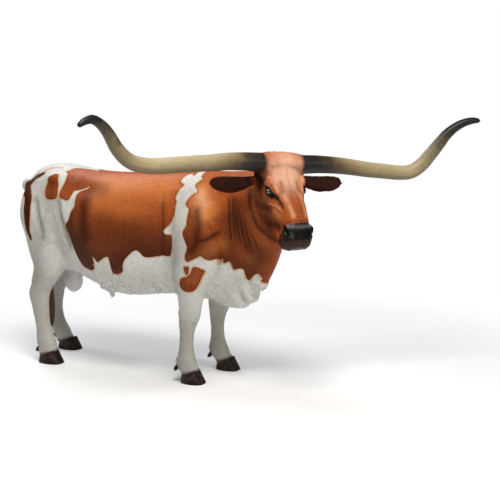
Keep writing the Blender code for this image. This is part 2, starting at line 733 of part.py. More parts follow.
def build():
    for old in list(bpy.data.objects):
        bpy.data.objects.remove(old)

    # the body in one skin, and the head in a finer one with the neck behind it
    shells = [trunk_shell(), neck_shell(), head_shell()]
    shells += [ball_shell(*egg) for egg in (brisket, sheath, sheath_tip, scrotum, scrotum_neck)]
    shells += [leg_shell(*leg) for leg in legs.values()]
    for swelling in (hip_bone, pin_bone, elbow):
        shells += both_sides(swelling)
    body = moulded("body", shells, body_voxel, body_smoothing, body_triangles)
    shells = [neck_shell(), head_shell(), horn_stub(-1), horn_stub(1), ball_shell(*poll_swelling, face_point)]
    for swelling in (brow, horn_root, cheek, nostril_rim):
        shells += both_sides(swelling, face_point)
    front = moulded("front", shells, head_voxel, head_smoothing, head_triangles)

    nodes = {"head": build_head(front), "tail": mesh_object("tail", [tail_shell()])}
    for side, word in ((-1, "right"), (1, "left")):
        nodes["ear_" + word] = mesh_object("ear_" + word, [ear_shell(side)])
        nodes["eye_" + word] = eye_ball("eye_" + word, side, eye_radius)
        nodes["horn_" + word] = build_horn("horn_" + word, side)

    # each cut leaves a gap between the two pieces it parts
    tail_bed = as_cutter(mesh_object("tail_bed", [tail_shell(socket_play)]))
    rest = cut(body, [head_block(gap), tail_bed], "DIFFERENCE", "rest")
    nodes["neck"] = cut(rest, [front_block(0.0)], "INTERSECT", "neck")
    whole = cut(rest, [front_block(gap)], "DIFFERENCE", "whole")
    for leg in legs:
        nodes.update(build_leg(leg, whole))
    nodes["scrotum"] = cut(whole, [scrotum_block(0.0)], "INTERSECT", "scrotum")
    trims = [leg_block(leg, gap) for leg in legs] + [scrotum_block(gap)]
    nodes["trunk"] = cut(whole, trims, "DIFFERENCE", "trunk")
    for spare in (body, front, rest, whole):
        bpy.data.objects.remove(spare)

    for name, made in nodes.items():
        made.name = name
        kind = "claw" if "claw" in name else name.split("_")[0]
        finish(largest_body(made), slots.get(kind, "coat_white"))
    move_to_middle(list(nodes.values()))


build()
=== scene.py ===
# A life-size longhorn statue, cast in resin and painted, in a plain pale studio.
# Lengths are in metres, in the tables of shape and paint in millimetres. The body has a frame of its own:
# +x from rump to brisket, +y to the animal's left, the floor at z 0 and the backbone over y 0. Every piece
# is worked out there and then moved home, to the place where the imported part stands.
import functools
import math

import bpy
import numpy as np
from mathutils import Matrix, Vector


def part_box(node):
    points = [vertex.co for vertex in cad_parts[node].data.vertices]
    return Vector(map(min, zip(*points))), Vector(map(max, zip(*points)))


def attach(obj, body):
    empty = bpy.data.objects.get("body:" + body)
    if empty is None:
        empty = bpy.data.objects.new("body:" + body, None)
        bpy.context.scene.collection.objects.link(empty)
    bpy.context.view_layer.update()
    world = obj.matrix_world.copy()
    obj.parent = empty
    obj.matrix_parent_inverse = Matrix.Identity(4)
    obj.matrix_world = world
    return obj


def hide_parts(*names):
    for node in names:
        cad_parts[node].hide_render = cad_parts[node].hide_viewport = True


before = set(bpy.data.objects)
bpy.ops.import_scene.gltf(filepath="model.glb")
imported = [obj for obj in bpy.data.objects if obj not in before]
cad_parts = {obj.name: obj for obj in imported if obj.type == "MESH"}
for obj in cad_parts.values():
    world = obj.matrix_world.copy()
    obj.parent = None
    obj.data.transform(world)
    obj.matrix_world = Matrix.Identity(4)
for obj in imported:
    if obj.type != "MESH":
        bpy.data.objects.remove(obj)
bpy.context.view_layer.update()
print("frame loaded")

headPlace = {"at": (1.262, -0.130, 1.517), "turn": -39.0, "faceTurn": -35.5, "faceSlope": 24.4}
eye = {"at": (0.1275, 0.1880, -0.0160), "radius": 0.0225}


# a point from the head's frame (left, forward, up): turned about the upright axis, then put in its place
def headPoints(left, forward, up, turn=headPlace["turn"]):
    a = math.radians(turn)
    left, forward, up = np.broadcast_arrays(left, forward, up)
    flat = [forward * math.cos(a) - left * math.sin(a), forward * math.sin(a) + left * math.cos(a), up]
    return np.stack(flat, axis=-1) + headPlace["at"]


# a point from the face's frame (left, along the face from the poll, out of it), which slopes forward
def facePoints(left, along, front):
    s = math.radians(headPlace["faceSlope"])
    forward = np.asarray(along) * math.sin(s) + np.asarray(front) * math.cos(s)
    up = np.asarray(front) * math.sin(s) - np.asarray(along) * math.cos(s)
    return headPoints(left, forward, up, headPlace["faceTurn"])


# the way back: where points lie in the head's frame, or sloped = True for the face's
def headCoords(points, sloped=False):
    a = math.radians(headPlace["faceTurn"] if sloped else headPlace["turn"])
    away = points - np.array(headPlace["at"])
    forward = away[:, 0] * math.cos(a) + away[:, 1] * math.sin(a)
    left = away[:, 1] * math.cos(a) - away[:, 0] * math.sin(a)
    if not sloped:
        return np.column_stack([left, forward, away[:, 2]])
    s = math.radians(headPlace["faceSlope"])
    along = forward * math.sin(s) - away[:, 2] * math.cos(s)
    return np.column_stack([left, along, forward * math.cos(s) + away[:, 2] * math.sin(s)])


def middleOf(node):
    low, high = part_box(node)
    return (np.array(low) + np.array(high)) / 2


# home: from the body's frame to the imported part's, read from the two eyes
betweenEyes = (middleOf("eye_left") + middleOf("eye_right")) / 2
homeMove = betweenEyes - facePoints(0.0, eye["at"][1], eye["at"][2])


# a table in millimetres as one in metres; numbers that come by turns are cut into rows this wide
def metres(numbers, wide=None):
    table = np.array(numbers) / 1000
    return table if wide is None else table.reshape(-1, wide)


# rows of numbers with smooth steps put between them: a Catmull-Rom curve through every column
def finer(rows, times):
    rows = np.asarray(rows, dtype=float)
    before = np.vstack([2 * rows[0] - rows[1], rows[:-1]])
    after = np.vstack([rows[1:], 2 * rows[-1] - rows[-2]])
    slope = (after - before) / 2
    t = (np.arange(times) / times)[None, :, None]
    a = 2 * t ** 3 - 3 * t ** 2 + 1
    spans = a * rows[:-1, None] + (1 - a) * rows[1:, None]
    spans += (t ** 3 - 2 * t ** 2 + t) * slope[:-1, None] + (t ** 3 - t ** 2) * slope[1:, None]
    return np.vstack([spans.reshape(-1, rows.shape[1]), rows[-1:]])


# 0 below low, 1 above high, a smooth rise between them
def ease(low, high, value):
    t = np.clip((value - low) / (high - low), 0.0, 1.0)
    return t * t * (3 - 2 * t)


# cosine and sine of a superellipse, a circle at squareness 2 and boxier above it
def rounded(angle, squareness):
    c, s = np.cos(angle), np.sin(angle)
    return np.sign(c) * np.abs(c) ** (2 / squareness), np.sign(s) * np.abs(s) ** (2 / squareness)


def around(count):
    return np.arange(count) * 2 * math.pi / count


# between rings of points, for every cell: its first corner and the next one round the ring
def cells(count, sides):
    r, k = np.meshgrid(np.arange(count - 1), np.arange(sides), indexing="ij")
    return r * sides + k, r * sides + (k + 1) % sides


# two triangles for every cell
def walls(count, sides):
    a, b = cells(count, sides)
    halves = [a, b, b + sides], [a, b + sides, a + sides]
    return np.vstack([np.stack(corners, -1).reshape(-1, 3) for corners in halves])


# a closed tube through rings of points (ring, side, xyz), its two ends closed by fans, faces outwards
def closedTube(rings):
    count, sides = rings.shape[:2]
    points = np.vstack([rings.reshape(-1, 3), rings[:1].mean(axis=1), rings[-1:].mean(axis=1)])
    k = np.arange(sides)
    first, last, top = count * sides, count * sides + 1, (count - 1) * sides
    start = np.column_stack([(k + 1) % sides, k, np.full(sides, first)])
    end = np.column_stack([top + k, top + (k + 1) % sides, np.full(sides, last)])
    faces = np.vstack([walls(count, sides), start, end])
    a, b, c = (points[faces[:, i]] - points.mean(axis=0) for i in range(3))
    if np.sum(a * np.cross(b, c)) < 0:
        faces = faces[:, ::-1]
    return points, faces


# moves a finished piece home
def home(made):
    made.data.transform(Matrix.Translation(homeMove))
    return made


# several shells as one list of points and one of faces
def joined(shells):
    starts = np.cumsum([0] + [len(points) for points, faces in shells])
    return np.vstack([s[0] for s in shells]), np.vstack([s[1] + at for s, at in zip(shells, starts)])


# two directions across a path at each point, turning as little as they can
def acrossPath(path):
    run = np.gradient(path, axis=0)
    run /= np.linalg.norm(run, axis=1)[:, None]
    side = np.cross(run[0], (0.0, 1.0, 0.0) if abs(run[0][1]) < 0.9 else (1.0, 0.0, 0.0))
    firsts = []
    for step in run:
        side = side - step * np.dot(side, step)
        side = side / np.linalg.norm(side)
        firsts.append(side)
    firsts = np.array(firsts)
    return firsts, np.cross(run, firsts)


# a tube of round rings along a path: point = path + radius (cos a first + sin a second)
def tubeRings(path, radii, sides):
    first, second = acrossPath(path)
    a = around(sides)[None, :, None]
    ring = np.cos(a) * first[:, None] + np.sin(a) * second[:, None]
    return path[:, None] + np.reshape(radii, (len(path), -1, 1)) * ring


def placed(name, data):
    made = bpy.data.objects.new(name, data)
    bpy.context.scene.collection.objects.link(made)
    return made


def meshObject(name, points, faces, smooth=True):
    mesh = bpy.data.meshes.new(name)
    mesh.vertices.add(len(points))
    mesh.vertices.foreach_set("co", np.ascontiguousarray(points, dtype=np.float32).ravel())
    mesh.loops.add(faces.size)
    mesh.loops.foreach_set("vertex_index", np.ascontiguousarray(faces, dtype=np.int32).ravel())
    mesh.polygons.add(len(faces))
    mesh.polygons.foreach_set("loop_start", np.arange(0, faces.size, faces.shape[1], dtype=np.int32))
    mesh.update(calc_edges=True)
    mesh.validate()
    if smooth:
        mesh.shade_smooth()
    return placed(name, mesh)


def arraysOf(mesh):
    points = np.empty(len(mesh.vertices) * 3, np.float32)
    mesh.vertices.foreach_get("co", points)
    normals = np.empty(len(mesh.vertices) * 3, np.float32)
    mesh.vertices.foreach_get("normal", normals)
    return points.reshape(-1, 3).astype(float), normals.reshape(-1, 3).astype(float)


# the object as its modifiers leave it, as a plain object; the source is removed
def evaluatedCopy(source):
    graph = bpy.context.evaluated_depsgraph_get()
    made = placed(source.name, bpy.data.meshes.new_from_object(source.evaluated_get(graph)))
    old = source.data
    bpy.data.objects.remove(source)
    bpy.data.meshes.remove(old)
    return made


def setAttribute(made, name, values):
    values = np.ascontiguousarray(values, dtype=np.float32)
    kind, field = ("FLOAT", "value") if values.ndim == 1 else ("FLOAT_VECTOR", "vector")
    attribute = made.data.attributes.new(name, kind, "POINT")
    attribute.data.foreach_set(field, values.ravel())


# what every finished piece needs: its body, the nodes it stands for and its material
def settle(piece, material, nodes):
    piece.data.materials.clear()
    piece.data.materials.append(material)
    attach(piece, "root")
    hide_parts(*nodes)
    return piece


# The body's sections, in millimetres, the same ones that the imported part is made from

trunk = {
    # x, back, belly, half width, height of the widest place
    "sections": metres((
        (-876, 1210, 990, 45, 1100), (-838, 1315, 870, 110, 1120), (-776, 1388, 770, 175, 1120),
        (-690, 1438, 715, 230, 1120), (-560, 1454, 680, 268, 1120), (-420, 1441, 655, 285, 1060),
        (-300, 1422, 628, 310, 1010), (-180, 1411, 588, 340, 990), (-50, 1408, 545, 360, 980),
        (120, 1410, 538, 365, 980), (290, 1417, 563, 345, 980), (440, 1425, 572, 305, 1000),
        (600, 1436, 562, 270, 1000), (760, 1440, 555, 225, 1000), (880, 1430, 620, 150, 1000),
    )),
    "squareness": (2.15, 2.3),
}
neck = {
    # x, y, top, bottom, half width, turn (in thousandths of a degree), height of the widest place
    "sections": metres((
        (560, 0, 1425, 620, 235, 0, 1020), (700, 0, 1436, 540, 225, 0, 1000),
        (820, 0, 1442, 512, 200, -2000, 1020), (920, -2, 1446, 530, 180, -6000, 1080),
        (1005, -10, 1448, 572, 168, -12000, 1130), (1080, -25, 1450, 653, 154, -19000, 1170),
        (1140, -46, 1452, 758, 145, -27000, 1210), (1182, -70, 1456, 860, 130, -33000, 1250),
        (1215, -92, 1456, 930, 112, -36000, 1260), (1238, -108, 1430, 990, 85, -36000, 1260),
    )),
    "squareness": (1.9, 1.75),
}
legs = {
    "squareness": 2.2,
    # x, half spread from the backbone, height, half depth, half width
    "fore": metres((
        (520, 140, 1330, 120, 70), (575, 175, 1200, 160, 95), (640, 200, 1060, 180, 108),
        (685, 212, 920, 185, 112), (672, 214, 800, 172, 106), (640, 212, 700, 138, 96),
        (629, 211, 620, 103, 80), (626, 210, 550, 85, 68), (620, 210, 490, 78, 61), (613, 210, 435, 70, 60),
        (603, 211, 385, 59, 51), (597, 212, 330, 51, 43), (594, 213, 260, 50, 42), (593, 213, 205, 57, 49),
        (592, 213, 160, 70, 59), (601, 213, 115, 74, 62), (624, 213, 75, 68, 63), (631, 213, 40, 62, 58),
    )),
    "hind": metres((
        (-575, 120, 1350, 160, 85), (-615, 152, 1230, 190, 106), (-626, 170, 1080, 190, 122),
        (-586, 180, 940, 178, 124), (-560, 188, 820, 166, 116), (-557, 192, 765, 147, 108),
        (-561, 196, 710, 125, 98), (-602, 203, 625, 107, 76), (-630, 207, 565, 88, 62),
        (-656, 208, 510, 84, 57), (-654, 208, 450, 73, 53), (-647, 208, 390, 65, 49),
        (-638, 208, 320, 58, 46), (-627, 208, 260, 58, 47), (-613, 208, 205, 66, 53),
        (-603, 208, 160, 73, 60), (-592, 208, 110, 70, 63), (-588, 208, 70, 71, 64),
        (-584, 208, 40, 66, 60),
    )),
    # how far the left legs stand from the right ones: height, shift along x
    "leftFore": metres(((0, 41), (120, 24), (200, 12), (380, 3), (600, -6), (750, 0))),
    "leftHind": metres(((0, -137), (100, -170), (200, -204), (350, -194), (500, -163), (620, -114),
                        (780, -48), (950, 0))),
}
hoofs = {
    # middle of the right sole, length and width over both claws, height in front and at the heel
    "fore": {"sole": (0.646, 0.213), "leftX": 0.689, "length": 0.174, "width": 0.134,
             "front": 0.100, "heel": 0.058},
    "hind": {"sole": (-0.563, 0.208), "leftX": -0.703, "length": 0.192, "width": 0.134,
             "front": 0.100, "heel": 0.060},
    "cleft": 0.006, "toeSlope": 0.52, "bluntness": 0.62, "coronetShare": 0.8,
    "profile": ((0.0, 0.965), (0.006, 1.0), (0.05, 0.97), (0.13, 0.90)),
    # growth ridges: spacing and depth; how far the coronet lies under the hair; edges sharper than this show
    "growth": (0.0085, 0.0007), "under": 0.004, "sharp": 48,
}
tail = {
    # the middle line and the radius
    "sections": metres((
        (-600, 0, 1362, 46), (-710, 0, 1370, 44), (-786, 0, 1322, 41), (-838, 0, 1250, 37),
        (-866, 0, 1160, 33), (-870, 0, 1060, 30), (-840, 0, 950, 27), (-806, 3, 850, 25),
        (-785, 10, 750, 24), (-774, 18, 650, 27), (-766, 26, 550, 34), (-758, 32, 450, 39),
        (-750, 36, 350, 36), (-744, 38, 260, 22), (-742, 39, 205, 7),
    )),
}
# small swellings: middle and half sizes, in the body's frame; the first list is on both sides
swellings = {
    "both": metres((
        (-485, 178, 1345, 90, 52, 52), (-790, 118, 1292, 60, 50, 58), (512, 222, 725, 55, 45, 60),
    )),
    "middle": metres((
        (856, 0, 690, 210, 132, 188), (-184, 0, 570, 80, 34, 42), (-155, 0, 518, 26, 20, 40),
        (-499, 0, 592, 76, 58, 96), (-497, 0, 700, 64, 44, 80),
    )),
    # in the face's frame, on both sides
    "face": metres((
        (113, 138, 0, 34, 40, 34), (115, 35, -12, 60, 70, 58), (78, 235, -165, 52, 110, 100),
        (64, 478, 44, 32, 46, 36),
    )),
    "poll": metres((0, -12, 0, 125, 50, 55)),
}
head = {
    # along the face: distance, front, back, half width, then narrowing and squareness in thousandths
    "sections": metres((
        (-62, 20, -45, 120, 0, 2200), (-40, 48, -85, 158, 0, 2400), (0, 56, -150, 164, 60, 2600),
        (50, 53, -225, 148, 80, 2800), (110, 51, -280, 134, 80, 2900), (170, 52, -298, 137, 40, 3000),
        (215, 56, -296, 135, 0, 3000), (265, 70, -288, 123, -50, 3100), (320, 87, -262, 108, -90, 3200),
        (375, 98, -222, 96, -80, 3200), (425, 99, -182, 90, -30, 3100), (470, 92, -142, 92, 0, 3000),
        (515, 79, -112, 94, 20, 3500), (548, 65, -86, 92, 0, 3600), (568, 47, -64, 83, 0, 3400),
        (580, 22, -40, 62, 0, 2800),
    )),
    # the muzzle bends a little to the right: how far, and from where to where along the face
    "bend": (-0.008, 0.38, 0.52),
}
horn = {
    # distance out from the middle of the head, radius, height over the horn roots on each side
    "out": metres((168, 260, 380, 500, 620, 740, 860, 950, 1020, 1080, 1130, 1180, 1230, 1285, 1340, 1385)),
    "radius": metres((61, 58, 55, 53, 51, 50, 49, 48, 46.5, 44, 41, 36, 31, 27, 22, 13)),
    "leftUp": metres((-16, -17, -26, -41, -60, -74, -87, -83, -42, 28, 94, 162, 210, 244, 260, 258)),
    "rightUp": metres((8, 15, 18, 12, 10, 6, 3, 12, 32, 73, 130, 210, 262, 290, 280, 252)),
    "lean": 0.043, "sweep": 0.17, "sweepFrom": 0.90, "sweepOver": 0.50,
    "stubRadius": metres((70, 70, 66, 60.5)), "stubOut": metres((0, 70, 115, 150)),
    "sides": 56, "step": 0.003,
    # growth rings at the root: spacing, depth, how far out; and the grooves along the bends
    "rings": (0.0210, 0.0006, 0.12), "grooves": (0.0007, 0.96, 0.13), "flutes": 0.0004,
    # how far the root goes on under the skin; the right horn's dark root and tip are shorter by so much
    "rootIn": 0.065, "shorterRoot": 0.07, "shorterTip": 0.04,
}
ear = {
    # the middle line in the head's frame (left, forward, up)
    "line": metres((
        (105, -85, -108), (165, -85, -118), (235, -68, -130), (310, -50, -136), (385, -45, -131),
        (432, -48, -124), (460, -50, -120), (472, -50, -119),
    )),
    "leftDrop": 0.030,
    "half": metres((30, 33, 45, 55, 53, 43, 28, 10)),
    "thick": metres((30, 24, 16, 13, 12, 12, 11, 10)),
    "cup": metres((0, 12, 30, 36, 30, 18, 6, 0)),
}
skin = {
    "voxel": 0.004, "evenPasses": 24, "bodyPasses": 118, "spared": 0.80, "steps": 6, "sides": 96,
    # the share of the triangles that stays, in all; and its weight in each place
    "keep": 0.2155, "keepBody": 0.30, "keepHead": 0.70, "keepEar": 0.25, "keepLow": 0.15, "keepEdge": 0.15,
}


def trunkShell():
    x, top, bottom, half, wide = finer(trunk["sections"], skin["steps"]).T[:, :, None]
    angle = around(skin["sides"])
    across, upper = rounded(angle, trunk["squareness"][0])
    lowAcross, lower = rounded(angle, trunk["squareness"][1])
    y = half * np.where(upper > 0, across, lowAcross)
    z = np.where(upper > 0, wide + (top - wide) * upper, wide + (wide - bottom) * lower)
    return closedTube(np.stack([x + 0 * y, y, z], axis=-1))


def neckShell():
    x, y, top, bottom, half, turn, wide = finer(neck["sections"], skin["steps"]).T[:, :, None]
    angle = around(skin["sides"])
    across, upper = rounded(angle, neck["squareness"][0])
    lowAcross, lower = rounded(angle, neck["squareness"][1])
    side = half * np.where(upper > 0, across, lowAcross)
    z = np.where(upper > 0, wide + (top - wide) * upper, wide + (wide - bottom) * lower)
    bend = np.radians(turn)
    return closedTube(np.stack([x - side * np.sin(bend), y + side * np.cos(bend), z], axis=-1))


# how far a leg of this side stands from the right one, along x, at these heights
def shiftAt(kind, side, height):
    heights, shifts = zip(*legs["leftFore" if kind == "fore" else "leftHind"])
    return np.interp(height, heights, shifts) if side > 0 else 0.0 * np.asarray(height)


def legShell(kind, side):
    x, spread, z, depth, half = finer(legs[kind], skin["steps"]).T[:, :, None]
    along, across = rounded(around(skin["sides"] // 2), legs["squareness"])
    return closedTube(np.stack([x + shiftAt(kind, side, z) + depth * along, side * spread + half * across,
                                z + 0 * along], axis=-1))


def tailShell():
    rows = finer(tail["sections"], skin["steps"])
    return closedTube(tubeRings(rows[:, :3], rows[:, 3], skin["sides"] // 3))


def headShell():
    along, front, back, half, narrowing, squareness = finer(head["sections"], skin["steps"]).T[:, :, None]
    across, depth = rounded(around(skin["sides"]), squareness)
    amount, start, end = head["bend"]
    left = half * across * (1 + narrowing * depth) + amount * ease(start, end, along)
    return closedTube(facePoints(left, along, (front + back) / 2 + (front - back) / 2 * depth))


# an egg: a sphere's rings stretched to the half sizes, round its middle
def eggShell(egg, place=None):
    polar = np.linspace(0, math.pi, 22)[1:-1, None]
    angle = around(36)
    across, along = np.sin(polar) * np.cos(angle), np.sin(polar) * np.sin(angle)
    unit = np.stack([across, along, -np.cos(polar) + 0 * angle], -1)
    local = unit * egg[3:] + egg[:3]
    return closedTube(local if place is None else place(local[..., 0], local[..., 1], local[..., 2]))


# the middle line of a horn and its radius: out and level, forward and up at the bend, level to its tip
def hornPath(side, steps):
    up = horn["leftUp" if side > 0 else "rightUp"]
    out, up, radius = finer(np.column_stack([horn["out"], up, horn["radius"]]), steps).T
    sweep = horn["sweep"] * np.clip((out - horn["sweepFrom"]) / horn["sweepOver"], 0, 2) ** 1.5
    return headPoints(side * out, horn["lean"] * out + sweep, up), radius, out


def hornStub(side):
    out = np.array(horn["stubOut"])
    rise = horn["leftUp" if side > 0 else "rightUp"][0] / horn["out"][0]
    path = finer(headPoints(side * out, horn["lean"] * out, rise * out), 4)
    return closedTube(tubeRings(path, finer(np.array(horn["stubRadius"])[:, None], 4), 48))


# a cupped leaf: flat rings across the ear's middle line, hollow on the face side
def earShell(side):
    rows = finer(np.column_stack([ear["line"], ear["half"], ear["thick"], ear["cup"]]), 10)
    left, forward, up, half, thick, cup = rows.T[:, :, None]
    drop = (ear["leftDrop"] if side > 0 else 0.0) * (left - left[0]) / (left[-1] - left[0])
    across = np.cos(around(40))
    front = forward - cup * (1 - across ** 2) + thick / 2 * np.sin(around(40))
    return closedTube(headPoints(side * left + 0 * across, front, up - drop + half * across))


def skinShells():
    shells = [trunkShell(), neckShell(), headShell(), tailShell()]
    shells += [eggShell(egg) for egg in swellings["middle"]]
    shells.append(eggShell(swellings["poll"], facePoints))
    for side in (-1, 1):
        shells += [legShell(kind, side) for kind in ("fore", "hind")]
        shells += [earShell(side), hornStub(side)]
        shells += [eggShell(egg * (1, side, 1, 1, 1, 1)) for egg in swellings["both"]]
        shells += [eggShell(egg * (side, 1, 1, 1, 1, 1), facePoints) for egg in swellings["face"]]
    return shells


# distance from points to a broken line, and the share of the way along it, in any number of dimensions
def nearLine(points, line):
    best = np.full(len(points), 1e9)
    share = np.zeros(len(points))
    lengths = np.linalg.norm(np.diff(line, axis=0), axis=1)
    starts = np.concatenate([[0], np.cumsum(lengths)])
    for i in range(len(line) - 1):
        run = line[i + 1] - line[i]
        t = np.clip((points - line[i]) @ run / (run @ run), 0, 1)
        gap = np.linalg.norm(points - line[i] - t[:, None] * run, axis=1)
        closer = gap < best
        best[closer] = gap[closer]
        share[closer] = ((starts[i] + t * lengths[i]) / starts[-1])[closer]
    return best, share


# A stroke's strength at each point: a bell across the line, or a fold with raised lips, fading at its
# ends. The line's coordinates come by turns and in millimetres, like the width.
def stroke(points, line, width, fold=False, fade=0.18, steps=4):
    line = finer(metres(line, points.shape[1]), steps)
    width = width / 1000
    reach = 3 * width
    inside = np.all((points > line.min(axis=0) - reach) & (points < line.max(axis=0) + reach), axis=1)
    out = np.zeros(len(points))
    if not inside.any():
        return out
    away, share = nearLine(points[inside], line)
    square = (away / width) ** 2
    bell = np.exp(-square) * ((1 - square) if fold else 1.0)
    if fade:
        bell = bell * ease(0, fade, share) * ease(0, fade, 1 - share)
    out[inside] = bell
    return out


# both sides laid over each other: the points with the sign of one coordinate taken off
def folded(points, axis):
    points = points.copy()
    points[:, axis] = np.abs(points[:, axis])
    return points


# x and height, with the left legs drawn back to the right ones
def sideView(points):
    x, y, z = points.T
    shift = np.where(x > 0, shiftAt("fore", 1, z), shiftAt("hind", 1, z))
    return np.column_stack([x - np.where(y > 0, shift, 0.0), z])


# The masks that the smoothing, the modelling and the paint share

def regionMasks(points):
    face = headCoords(points, sloped=True)
    inHead = ease(-0.36, -0.27, face[:, 2]) * ease(-0.17, -0.10, face[:, 1])
    inHead *= ease(0.30, 0.22, np.abs(face[:, 0]))
    side = headCoords(points)
    inEar = np.zeros(len(points))
    for sign in (-1, 1):
        line = ear["line"] * (sign, 1, 1)
        drop = (ear["leftDrop"] if sign > 0 else 0.0) * np.linspace(0, 1, len(line))
        line[:, 2] -= drop
        gap, share = nearLine(side, line)
        inEar = np.maximum(inEar, ease(0.075, 0.050, gap) * ease(0.13, 0.24, share))
    gap, share = nearLine(points, tail["sections"][:, :3])
    onTail = ease(0.075, 0.05, gap) * ease(0.14, 0.26, share)
    return {"face": face, "head": inHead, "side": side, "ear": inEar, "tail": onTail, "tailShare": share}


# a vertex group that holds strengths as whole ranks from 0 to the number of levels
def rankGroup(made, name, rank, levels):
    group = made.vertex_groups.new(name=name)
    for level in range(1, levels + 1):
        members = np.nonzero(rank == level)[0]
        if len(members):
            group.add(members.tolist(), level / levels, "REPLACE")


# one run of smoothing, its strength painted by a vertex group in a few levels
def smoothSkin(made, strength, passes, levels=12):
    rankGroup(made, "smooth", np.round(strength * levels).astype(int), levels)
    step = made.modifiers.new("smooth", "SMOOTH")
    step.factor = 0.5
    step.iterations = passes
    step.vertex_group = "smooth"
    done = evaluatedCopy(made)
    done.vertex_groups.clear()
    return done


def castSkin():
    made = meshObject("skin", *joined(skinShells()), smooth=False)
    remesh = made.modifiers.new("run together", "REMESH")
    remesh.mode = "VOXEL"
    remesh.voxel_size = skin["voxel"]
    made = evaluatedCopy(made)
    print("skin run together,", len(made.data.vertices), "points")
    # all of it a little, the ears and the tail least, then the body alone until the sections don't show
    masks = regionMasks(arraysOf(made.data)[0])
    made = smoothSkin(made, 1 - skin["spared"] * np.maximum(masks["ear"], masks["tail"]), skin["evenPasses"])
    masks = regionMasks(arraysOf(made.data)[0])
    body = np.clip(1 - masks["head"] - np.maximum(masks["ear"], masks["tail"]), 0, 1)
    made = smoothSkin(made, body, skin["bodyPasses"])
    print("skin smoothed")
    return made


# The modelling of the skin: strokes and swellings that move it along its normals

